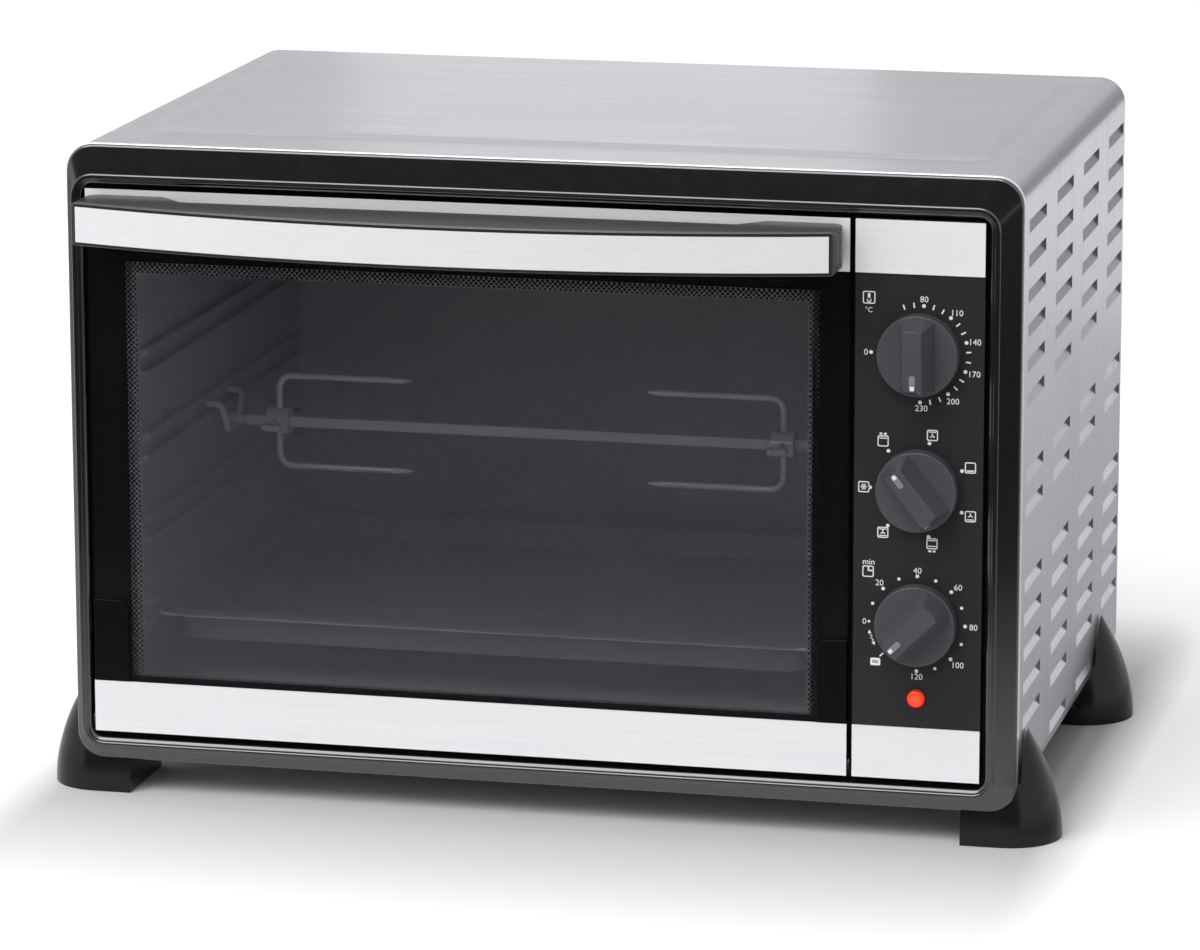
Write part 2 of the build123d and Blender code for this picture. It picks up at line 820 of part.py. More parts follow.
with BuildPart() as spit_coupling:
    with BuildSketch(across(coupling_x0)):
        with Locations((spit_y, spit_z)):
            Circle(coupling_r)
    extrude(amount=coupling_l)
    with BuildSketch(across(coupling_x0)):
        with Locations((spit_y, spit_z)):
            Rectangle(spit_a + 2 * running, spit_a + 2 * running)
    extrude(amount=coupling_grip, mode=Mode.SUBTRACT)
    with BuildSketch(across(coupling_x1)):
        with Locations((spit_y, spit_z)):
            Circle(drive_r)
    extrude(amount=drive_l)
spit_coupling.part.label = "spit_coupling"
export_step(spit_coupling.part, "parts/spit_coupling.step")

with BuildPart() as spit_rod:
    with BuildSketch(across(spit_x0 + spit_end_l)):
        with Locations((spit_y, spit_z)):
            Rectangle(spit_a, spit_a)
    extrude(amount=spit_x1 - spit_x0 - spit_end_l)
    with BuildSketch(across(spit_x0)):
        with Locations((spit_y, spit_z)):
            Circle(spit_end_r)
    extrude(amount=spit_end_l)
spit_rod.part.label = "spit_rod"
export_step(spit_rod.part, "parts/spit_rod.step")

# The two forks face each other along the rod, each with a hub and two bent prongs
forks = {
    "left": (spit_x0 + fork_inset, 1),
    "right": (coupling_x0 - fork_inset, -1),
}
for hand, (fork_x, inward) in forks.items():
    with BuildPart() as fork:
        with BuildSketch(across(fork_x - fork_hub_l / 2)):
            with Locations((spit_y, spit_z)):
                Circle(fork_hub_r)
        extrude(amount=fork_hub_l)
        for up in (-1, 1):
            with BuildLine() as prong:
                FilletPolyline(
                    (fork_x, spit_y, spit_z + up * spit_a),
                    (fork_x, spit_y, spit_z + up * fork_arm),
                    (fork_x + inward * fork_prong, spit_y, spit_z + up * fork_arm),
                    radius=fork_bend,
                )
            with BuildSketch(Plane(origin=prong.line @ 0, z_dir=prong.line % 0)):
                Circle(fork_wire_r)
            sweep()
            tip = Plane(origin=prong.line @ 1, z_dir=prong.line % 1)
            with BuildSketch(tip):
                Circle(fork_wire_r)
            extrude(amount=3 * fork_wire_r, taper=15)
        with BuildSketch(across(fork_x - fork_hub_l / 2)):
            with Locations((spit_y, spit_z)):
                Rectangle(spit_a + 2 * running, spit_a + 2 * running)
        extrude(amount=fork_hub_l, mode=Mode.SUBTRACT)
        with BuildSketch(facing(spit_y - fork_hub_r)):
            with Locations((fork_x, spit_z)):
                Circle(thumb_r)
        extrude(amount=-fork_hub_r, mode=Mode.SUBTRACT)
    fork.part.label = f"spit_fork_{hand}"
    export_step(fork.part, f"parts/spit_fork_{hand}.step")

with BuildPart() as fork_thumbscrews:
    thumb_y = spit_y - spit_a / 2
    for fork_x, inward in forks.values():
        with BuildSketch(facing(thumb_y)):
            with Locations((fork_x, spit_z)):
                Circle(thumb_r)
        extrude(amount=thumb_l)
        with BuildSketch(level(spit_z - thumb_head_t / 2)):
            with Locations((fork_x, thumb_y - thumb_l - thumb_head_r / 2)):
                RectangleRounded(2 * thumb_head_r, thumb_head_r + thumb_r, thumb_r)
        extrude(amount=thumb_head_t)
fork_thumbscrews.part.label = "fork_thumbscrews"
export_step(fork_thumbscrews.part, "parts/fork_thumbscrews.step")

with BuildPart() as spit_rest:
    rest_x = mouth_x0 + rest_out
    saddle_z = spit_z - spit_end_r - rest_wire_r - rest_gap
    ear_z = spit_z + rest_rise
    with BuildLine() as rest_path:
        FilletPolyline(
            (mouth_x0, spit_y - rest_foot, ear_z),
            (rest_x, spit_y - rest_foot, ear_z),
            (rest_x, spit_y - rest_half, saddle_z),
            (rest_x, spit_y + rest_half, saddle_z),
            (rest_x, spit_y + rest_foot, ear_z),
            (mouth_x0, spit_y + rest_foot, ear_z),
            radius=rest_bend,
        )
    with BuildSketch(Plane(origin=rest_path.line @ 0, z_dir=rest_path.line % 0)):
        Circle(rest_wire_r)
    sweep()
spit_rest.part.label = "spit_rest"
export_step(spit_rest.part, "parts/spit_rest.step")

# Fan: the wheel turns in a sheet well behind the wall, under a slotted guard
fan_x0 = right_out + fan_gap
fan_x1 = fan_x0 + fan_d
well_x1 = fan_x1 + fan_gap

with BuildPart() as fan_wheel:
    with BuildSketch(across(fan_x0)):
        with Locations((fan_y, fan_z)):
            Circle(fan_hub_r)
    extrude(amount=fan_d)
    for i in range(fan_blades):
        turn = radians(i * 360 / fan_blades)
        tilt = radians(fan_pitch)
        along = Vector(0, cos(turn), sin(turn))
        across_blade = Vector(cos(tilt), -sin(turn) * sin(tilt), cos(turn) * sin(tilt))
        hub = Vector(fan_x0 + fan_d / 2, fan_y, fan_z)
        blade = Plane(origin=hub, x_dir=along, z_dir=along.cross(across_blade))
        with BuildSketch(blade.offset(-fan_blade_t / 2)):
            with Locations(((fan_hub_r + fan_r) / 2, 0)):
                Rectangle(fan_r - fan_hub_r + 2 * fan_blade_t, fan_d)
        extrude(amount=fan_blade_t)
    with BuildSketch(across(fan_x1)):
        with Locations((fan_y, fan_z)):
            Circle(fan_shaft_r)
    extrude(amount=fan_gap + sheet + fan_shaft_l)
fan_wheel.part.label = "fan_wheel"
export_step(fan_wheel.part, "parts/fan_wheel.step")

with BuildPart() as fan_well:
    with BuildSketch(across(right_out)):
        with Locations((fan_y, fan_z)):
            Circle(guard_r)
    extrude(amount=sheet)
    with BuildSketch(across(right_out)):
        with Locations((fan_y, fan_z)):
            Circle(well_r + sheet)
    extrude(amount=well_x1 + sheet - right_out)
    with BuildSketch(across(right_out)):
        with Locations((fan_y, fan_z)):
            Circle(well_r)
    extrude(amount=well_x1 - right_out, mode=Mode.SUBTRACT)
    with BuildSketch(across(well_x1)):
        with Locations((fan_y, fan_z)):
            Circle(fan_shaft_r + fan_hole_gap)
    extrude(amount=sheet, mode=Mode.SUBTRACT)
fan_well.part.label = "fan_well"
export_step(fan_well.part, "parts/fan_well.step")

with BuildPart() as fan_motor:
    with BuildSketch(across(well_x1 + sheet)):
        with Locations((fan_y, fan_z)):
            RectangleRounded(fan_motor_a, fan_motor_a, motor_round)
    extrude(amount=fan_motor_d)
    with BuildSketch(across(well_x1 + sheet)):
        with Locations((fan_y, fan_z)):
            Circle(fan_shaft_r + running)
    extrude(amount=fan_shaft_l + fan_hole_gap, mode=Mode.SUBTRACT)
fan_motor.part.label = "fan_motor"
export_step(fan_motor.part, "parts/fan_motor.step")

with BuildPart() as fan_guard:
    with BuildSketch(across(mouth_x1)):
        with Locations((fan_y, fan_z)):
            Circle(guard_r)
    extrude(amount=-sheet)
    with BuildSketch(across(mouth_x1)):
        with Locations((fan_y, fan_z)):
            Circle(fan_r + sheet)
    extrude(amount=-guard_proud - sheet, taper=crown_slope / 2)
    with BuildSketch(across(mouth_x1)):
        with Locations((fan_y, fan_z)):
            Circle(fan_r)
    extrude(amount=-guard_proud, taper=crown_slope / 2, mode=Mode.SUBTRACT)
    with BuildSketch(across(mouth_x1 - guard_proud)):
        with Locations((fan_y, fan_z)):
            with PolarLocations((guard_slot_in + fan_r - guard_slot_edge) / 2, guard_slots):
                Rectangle(fan_r - guard_slot_edge - guard_slot_in, guard_slot_w)
    extrude(amount=-sheet, mode=Mode.SUBTRACT)
fan_guard.part.label = "fan_guard"
export_step(fan_guard.part, "parts/fan_guard.step")

# Control panel: a shallow tray that stands on the front frame, with steel ends
panel_h = door_h
panel_z = (door_z0 + door_z1) / 2
strip_zs = [door_z0 + strip_h / 2, door_z1 - strip_h / 2]

with BuildPart() as control_panel:
    with BuildSketch(facing(panel_y)):
        with Locations((panel_x, panel_z)):
            Rectangle(panel_w, panel_h)
    extrude(amount=panel_y - frame_y)
    with BuildSketch(facing(frame_y)):
        with Locations((panel_x, panel_z)):
            Rectangle(panel_w - 2 * panel_wall, panel_h - 2 * panel_wall)
    extrude(amount=frame_y - panel_back, mode=Mode.SUBTRACT)
    with BuildSketch(facing(panel_y)):
        with Locations(*[(panel_x, z) for z in knob_zs]):
            Circle(shaft_r + shaft_hole_gap)
        with Locations((panel_x, base_z + lens_up)):
            Circle(lens_shank_r + running)
    extrude(amount=-panel_t, mode=Mode.SUBTRACT)
control_panel.part.label = "control_panel"
export_step(control_panel.part, "parts/control_panel.step")

with BuildPart() as panel_trims:
    with BuildSketch(facing(face_y)):
        with Locations(*[(panel_x, z) for z in strip_zs]):
            Rectangle(panel_w, strip_h)
    extrude(amount=-strip_t)
panel_trims.part.label = "panel_trims"
export_step(panel_trims.part, "parts/panel_trims.step")

with BuildPart() as indicator_lens:
    lens_z = base_z + lens_up
    with BuildSketch(facing(panel_y)):
        with Locations((panel_x, lens_z)):
            Circle(lens_r)
    extrude(amount=lens_dome + lens_rim)
    fillet(indicator_lens.faces().sort_by(Axis.Y)[0].edges(), lens_dome)
    with BuildSketch(facing(panel_y)):
        with Locations((panel_x, lens_z)):
            Circle(lens_shank_r)
    extrude(amount=-lens_shank_l)
indicator_lens.part.label = "indicator_lens"
export_step(indicator_lens.part, "parts/indicator_lens.step")

thermostat_z, selector_z, timer_z = knob_zs

with BuildPart() as thermostat:
    with BuildSketch(facing(panel_back + bush_neck_l)):
        with Locations((panel_x, thermostat_z)):
            RectangleRounded(thermostat_a, thermostat_a, motor_round)
    extrude(amount=-thermostat_d)
    with BuildSketch(facing(panel_back)):
        with Locations((panel_x, thermostat_z)):
            Circle(bush_neck_r)
    extrude(amount=-bush_neck_l)
    with BuildSketch(facing(panel_back)):
        with Locations((panel_x, thermostat_z)):
            Circle(shaft_r + running)
    extrude(amount=-shaft_deep, mode=Mode.SUBTRACT)
thermostat.part.label = "thermostat"
export_step(thermostat.part, "parts/thermostat.step")

drums = (
    ("function_selector", selector_z, selector_r, selector_d),
    ("timer", timer_z, timer_r, timer_d),
)
for name, drum_z, drum_r, drum_d in drums:
    with BuildPart() as drum:
        with BuildSketch(facing(panel_back + bush_neck_l)):
            with Locations((panel_x, drum_z)):
                Circle(drum_r)
        extrude(amount=-drum_d)
        with BuildSketch(facing(panel_back)):
            with Locations((panel_x, drum_z)):
                Circle(bush_neck_r)
        extrude(amount=-bush_neck_l)
        with BuildSketch(facing(panel_back)):
            with Locations((panel_x, drum_z)):
                Circle(shaft_r + running)
        extrude(amount=-shaft_deep, mode=Mode.SUBTRACT)
    drum.part.label = name
    export_step(drum.part, f"parts/{name}.step")

# Knobs: a shallow skirt and a tapered bar, hollow underneath, with a pointer let into the bar
knob_top_y = knob_y - knob_rim - knob_bar_h
bar_end = knob_r - knob_bar_in
bar_top_end = bar_end - knob_edge - (knob_bar_h + knob_edge) * tan(radians(knob_bar_taper))
pointer_x = bar_top_end - pointer_in - pointer_l / 2
knobs = (
    ("temperature", thermostat_z, temperature_angle),
    ("function", selector_z, function_angle),
    ("timer", timer_z, timer_angle),
)
for name, knob_z, angle in knobs:
    with BuildPart() as knob:
        with BuildSketch(facing(knob_y)):
            with Locations((panel_x, knob_z)):
                Circle(knob_r)
        extrude(amount=knob_rim, taper=knob_rim_taper)
        fillet(knob.faces().sort_by(Axis.Y)[0].edges(), knob_edge)
        with BuildSketch(facing(knob_y - knob_rim + knob_edge)):
            with Locations((panel_x, knob_z)):
                Circle(bar_end - knob_edge)
                Rectangle(2 * bar_end, knob_bar_w, rotation=angle, mode=Mode.INTERSECT)
        extrude(amount=knob_bar_h + knob_edge, taper=knob_bar_taper)
        fillet(knob.faces().sort_by(Axis.Y)[0].edges(), knob_edge / 2)
        with BuildSketch(facing(knob_y)):
            with Locations((panel_x, knob_z)):
                Circle(knob_hollow_r)
                Circle(knob_boss_r, mode=Mode.SUBTRACT)
        extrude(amount=knob_hollow, mode=Mode.SUBTRACT)
        with BuildSketch(facing(knob_y)):
            with Locations((panel_x, knob_z)):
                Circle(shaft_r)
        extrude(amount=shaft_grip, mode=Mode.SUBTRACT)
        spot = (panel_x + pointer_x * cos(radians(angle)), knob_z + pointer_x * sin(radians(angle)))
        with BuildSketch(facing(knob_top_y)):
            with Locations(spot):
                SlotOverall(pointer_l, pointer_w, rotation=angle)
        extrude(amount=-pointer_t, mode=Mode.SUBTRACT)
    knob.part.label = f"{name}_knob"
    export_step(knob.part, f"parts/{name}_knob.step")

    with BuildPart() as pointer:
        with BuildSketch(facing(knob_top_y - pointer_proud)):
            with Locations(spot):
                SlotOverall(pointer_l, pointer_w, rotation=angle)
        extrude(amount=-pointer_t - pointer_proud)
    pointer.part.label = f"{name}_pointer"
    export_step(pointer.part, f"parts/{name}_pointer.step")

    with BuildPart() as shaft:
        with BuildSketch(facing(knob_y - shaft_grip)):
            with Locations((panel_x, knob_z)):
                Circle(shaft_r)
        extrude(amount=knob_y - shaft_grip - panel_back - shaft_deep + running)
    shaft.part.label = f"{name}_shaft"
    export_step(shaft.part, f"parts/{name}_shaft.step")

# Door
handle_screws_at = [(x, handle_z) for x in (handle_x0 + post_w / 2, handle_x1 - post_w / 2)]
screw_hole_r = handle_screw_r + seat

with BuildPart() as door_glass:
    with BuildSketch(facing(glass_y)):
        with Locations((door_x, (rail_top + door_z1) / 2)):
            Rectangle(door_w, door_z1 - rail_top)
        with Locations(*handle_screws_at):
            Circle(screw_hole_r, mode=Mode.SUBTRACT)
    extrude(amount=-glass_t)
door_glass.part.label = "door_glass"
export_step(door_glass.part, "parts/door_glass.step")

window_w = door_w - 2 * window_side
window_h = door_h - window_low - window_top

with BuildPart() as door_frame:
    with BuildSketch(facing(glass_back)):
        with Locations((door_x, (rail_top + door_z1 - door_frame_in) / 2)):
            Rectangle(door_w - 2 * door_frame_in, door_z1 - door_frame_in - rail_top)
        with Locations((door_x, door_z0 + window_low + window_h / 2)):
            Rectangle(window_w, window_h, mode=Mode.SUBTRACT)
        with Locations(*handle_screws_at):
            Circle(screw_hole_r, mode=Mode.SUBTRACT)
    extrude(amount=-door_frame_t)
    with BuildSketch(facing(door_back)):
        with Locations(*handle_screws_at):
            Circle(handle_screw_head_r + seat)
    extrude(amount=handle_screw_head_h, mode=Mode.SUBTRACT)
door_frame.part.label = "door_frame"
export_step(door_frame.part, "parts/door_frame.step")

with BuildPart() as door_rail:
    with BuildSketch(across(door_x0)) as rail_section:
        with Locations(((glass_y + door_back) / 2, (door_z0 + rail_top) / 2)):
            Rectangle(door_back - glass_y, rail_h)
        fillet(rail_section.vertices().group_by(Axis.Y)[0], rail_round)
    extrude(amount=door_w)
    for ear_x, inward in ears.values():
        with BuildSketch(across(ear_x)):
            with Locations((pin_y, pin_z)):
                Circle(pin_r + running)
        extrude(amount=inward * (pin_l + ear_gap), mode=Mode.SUBTRACT)
door_rail.part.label = "door_rail"
export_step(door_rail.part, "parts/door_rail.step")

for name, strip_z in zip(("door_strip_low", "door_strip_top"), strip_zs):
    with BuildPart() as door_strip:
        with BuildSketch(facing(face_y)):
            with Locations((door_x, strip_z)):
                Rectangle(door_w, strip_h)
            if strip_z > panel_z:
                with Locations(*handle_screws_at):
                    Circle(screw_hole_r, mode=Mode.SUBTRACT)
        extrude(amount=-strip_t)
    door_strip.part.label = name
    export_step(door_strip.part, f"parts/{name}.step")

stay_axis = (pin_y, pin_z)
outer_end = degrees(acos((door_back - pin_y) / stay_ro))
inner_end = degrees(acos((door_back - pin_y) / stay_ri))
tail_angle = degrees(acos((slot_far + stop_gap) / stay_ro)) - door_open - stay_tail

for hand, stay_x in stay_xs.items():
    with BuildPart() as stay:
        with BuildSketch(across(stay_x - stay_t / 2)):
            with BuildLine():
                outer = CenterArc(stay_axis, stay_ro, tail_angle, outer_end - tail_angle)
                inner = CenterArc(stay_axis, stay_ri, tail_angle, inner_end - tail_angle)
                Line(outer @ 0, inner @ 0)
                Line(outer @ 1, inner @ 1)
            make_face()
            with BuildLine():
                tooth = CenterArc(stay_axis, stay_ro + stay_tooth, tail_angle, stay_tail)
                root = CenterArc(stay_axis, stay_r, tail_angle, stay_tail)
                Line(tooth @ 0, root @ 0)
                Line(tooth @ 1, root @ 1)
            make_face()
        extrude(amount=stay_t)
    stay.part.label = f"door_stay_{hand}"
    export_step(stay.part, f"parts/door_stay_{hand}.step")

# Handle: a bowed moulding on two posts, hollow behind the grip, faced with a steel strip
handle_half = (handle_x1 - handle_x0) / 2
bow = handle_reach - handle_end_reach
bow_r = (handle_half**2 + bow**2) / (2 * bow)
bow_y = face_y - handle_reach + bow_r
grip_y = face_y - grip_gap
facing_half = handle_half - facing_in


def bow_point(x, radius):
    return (x, bow_y - sqrt(radius**2 - (x - door_x) ** 2))


def bow_arc(half, radius):
    ThreePointArc(
        bow_point(door_x - half, radius),
        bow_point(door_x, radius),
        bow_point(door_x + half, radius),
    )


mould_r = bow_r - facing_proud
recess_r = bow_r - facing_t
pocket_r = recess_r - handle_wall
pocket_half = handle_half - post_w

with BuildPart() as handle_grip:
    with BuildSketch(level(handle_z0)) as plan:
        with BuildLine():
            bow_arc(handle_half, mould_r)
            Polyline(
                bow_point(handle_x1, mould_r),
                (handle_x1, face_y),
                (handle_x1 - post_w, face_y),
                (handle_x1 - post_w - grip_gap, grip_y),
                (handle_x0 + post_w + grip_gap, grip_y),
                (handle_x0 + post_w, face_y),
                (handle_x0, face_y),
                bow_point(handle_x0, mould_r),
            )
        make_face()
        ends = plan.vertices().group_by(Axis.X)
        fillet([ends[0].sort_by(Axis.Y)[-1], ends[-1].sort_by(Axis.Y)[-1]], post_round)
        ends = plan.vertices().group_by(Axis.X)
        fillet([ends[0].sort_by(Axis.Y)[0], ends[-1].sort_by(Axis.Y)[0]], facing_in)
    extrude(amount=handle_h)
    with BuildSketch(level(handle_z - facing_h / 2)):
        with BuildLine():
            bow_arc(facing_half, recess_r)
            Polyline(
                bow_point(door_x + facing_half, recess_r),
                (door_x + facing_half, face_y - handle_reach),
                (door_x - facing_half, face_y - handle_reach),
                bow_point(door_x - facing_half, recess_r),
            )
        make_face()
    extrude(amount=facing_h, mode=Mode.SUBTRACT)
    with BuildSketch(level(handle_z0 + handle_wall)):
        with BuildLine():
            bow_arc(pocket_half, pocket_r)
            Polyline(
                bow_point(door_x + pocket_half, pocket_r),
                (door_x + pocket_half, face_y),
                (door_x - pocket_half, face_y),
                bow_point(door_x - pocket_half, pocket_r),
            )
        make_face()
    extrude(amount=handle_h - 2 * handle_wall, mode=Mode.SUBTRACT)
    with BuildSketch(facing(face_y)):
        with Locations(*handle_screws_at):
            Circle(handle_screw_r)
    extrude(amount=handle_screw_bite, mode=Mode.SUBTRACT)
handle_grip.part.label = "handle_grip"
export_step(handle_grip.part, "parts/handle_grip.step")

with BuildPart() as handle_facing:
    with BuildSketch(level(handle_z - facing_h / 2)):
        with BuildLine():
            bow_arc(facing_half, bow_r)
            bow_arc(facing_half, recess_r)
            for end in (door_x - facing_half, door_x + facing_half):
                Line(bow_point(end, bow_r), bow_point(end, recess_r))
        make_face()
    extrude(amount=facing_h)
handle_facing.part.label = "handle_facing"
export_step(handle_facing.part, "parts/handle_facing.step")

head_y = door_back - handle_screw_head_h

with BuildPart() as handle_screws:
    with BuildSketch(facing(head_y)):
        with Locations(*handle_screws_at):
            Circle(handle_screw_head_r)
    extrude(amount=-handle_screw_head_h)
    with BuildSketch(facing(head_y)):
        with Locations(*handle_screws_at):
            Circle(handle_screw_r)
    extrude(amount=head_y - face_y + handle_screw_bite)
handle_screws.part.label = "handle_screws"
export_step(handle_screws.part, "parts/handle_screws.step")
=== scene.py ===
import math

import bmesh
import bpy
import numpy as np
from mathutils import Matrix, Vector


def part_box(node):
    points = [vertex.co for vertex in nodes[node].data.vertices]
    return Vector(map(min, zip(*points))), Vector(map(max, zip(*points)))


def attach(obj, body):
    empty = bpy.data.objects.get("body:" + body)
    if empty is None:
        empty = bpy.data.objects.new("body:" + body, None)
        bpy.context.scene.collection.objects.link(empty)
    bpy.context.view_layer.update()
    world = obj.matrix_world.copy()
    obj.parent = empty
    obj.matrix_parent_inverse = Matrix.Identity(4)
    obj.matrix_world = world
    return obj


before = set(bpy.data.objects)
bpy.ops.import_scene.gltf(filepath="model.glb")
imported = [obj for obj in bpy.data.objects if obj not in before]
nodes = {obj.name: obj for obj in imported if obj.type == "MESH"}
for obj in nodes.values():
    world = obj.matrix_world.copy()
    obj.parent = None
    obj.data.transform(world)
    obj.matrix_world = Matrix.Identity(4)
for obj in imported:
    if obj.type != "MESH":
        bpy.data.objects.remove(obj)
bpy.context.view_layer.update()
mm = 0.001
print("frame loaded:", len(nodes), "nodes")


def linear(hexColour):
    # sRGB hex to the linear values that shader sockets take
    channel = np.array([int(hexColour[i:i + 2], 16) for i in (1, 3, 5)]) / 255.0
    value = np.where(channel <= 0.04045, channel / 12.92, ((channel + 0.055) / 1.055) ** 2.4)
    return (*value.tolist(), 1.0)


def addNode(tree, kind, settings=None, inputs=None):
    # one node with its settings; an input is a plain value or another node's output socket
    node = tree.nodes.new(kind)
    for key, value in (settings or {}).items():
        setattr(node, key, value)
    for key, value in (inputs or {}).items():
        if isinstance(value, bpy.types.NodeSocket):
            tree.links.new(value, node.inputs[key])
        else:
            node.inputs[key].default_value = value
    return node


def emptyMaterial(name):
    material = bpy.data.materials.new(name)
    material.use_nodes = True
    material.node_tree.nodes.clear()
    return material, material.node_tree


# What the finishes share: noise detail, the noise range between shade and colour, and values that most leave out.
patternLook = dict(grainDetail=3.0, cloudDetail=2.0, noiseRough=0.6, low=0.4, high=0.95, cloud=(70, 70, 70),
                   cloudShare=0.35, bump=0.6, coatRough=0.08)


def finish(name, look):
    # a surface whose tone, gloss and relief follow a fine grain and a slow cloud, both sized in mm along x, y, z
    material, tree = emptyMaterial(name)
    place = addNode(tree, "ShaderNodeTexCoord").outputs["Object"]
    patterns = []
    for size, detail in ((look["grain"], patternLook["grainDetail"]),
                         (look.get("cloud", patternLook["cloud"]), patternLook["cloudDetail"])):
        scaled = addNode(tree, "ShaderNodeMapping", inputs={
            "Vector": place, "Scale": [1.0 / (length * mm) for length in size]})
        patterns.append(addNode(tree, "ShaderNodeTexNoise", inputs={
            "Vector": scaled.outputs[0], "Scale": 1.0, "Detail": detail,
            "Roughness": patternLook["noiseRough"]}).outputs["Fac"])
    grain, cloud = patterns
    both = addNode(tree, "ShaderNodeMath", {"operation": "MULTIPLY_ADD"}, {
        0: cloud, 1: look.get("cloudShare", patternLook["cloudShare"]), 2: grain}).outputs[0]
    level = addNode(tree, "ShaderNodeMapRange", inputs={
        "Value": both, "From Min": patternLook["low"], "From Max": patternLook["high"]}).outputs["Result"]
    tone = addNode(tree, "ShaderNodeMix", {"data_type": "RGBA"}, {
        0: level, 6: linear(look["shade"]), 7: linear(look["colour"])}).outputs[2]
    gloss = addNode(tree, "ShaderNodeMapRange", inputs={
        "Value": level, "To Min": look["rough"] + look["spread"],
        "To Max": look["rough"] - look["spread"]}).outputs["Result"]
    relief = addNode(tree, "ShaderNodeBump", inputs={
        "Strength": patternLook["bump"], "Distance": look["relief"] * mm, "Height": grain})
    shader = addNode(tree, "ShaderNodeBsdfPrincipled", inputs={
        "Base Color": tone, "Roughness": gloss, "Normal": relief.outputs[0],
        "Metallic": look.get("metallic", 0.0), "Specular IOR Level": look.get("specular", 0.5)})
    if "alpha" in look:
        shader.inputs["Alpha"].default_value = look["alpha"]
    if "coat" in look:
        shader.inputs["Coat Weight"].default_value = look["coat"]
        shader.inputs["Coat Roughness"].default_value = patternLook["coatRough"]
    addNode(tree, "ShaderNodeOutputMaterial", inputs={"Surface": shader.outputs[0]})
    return material


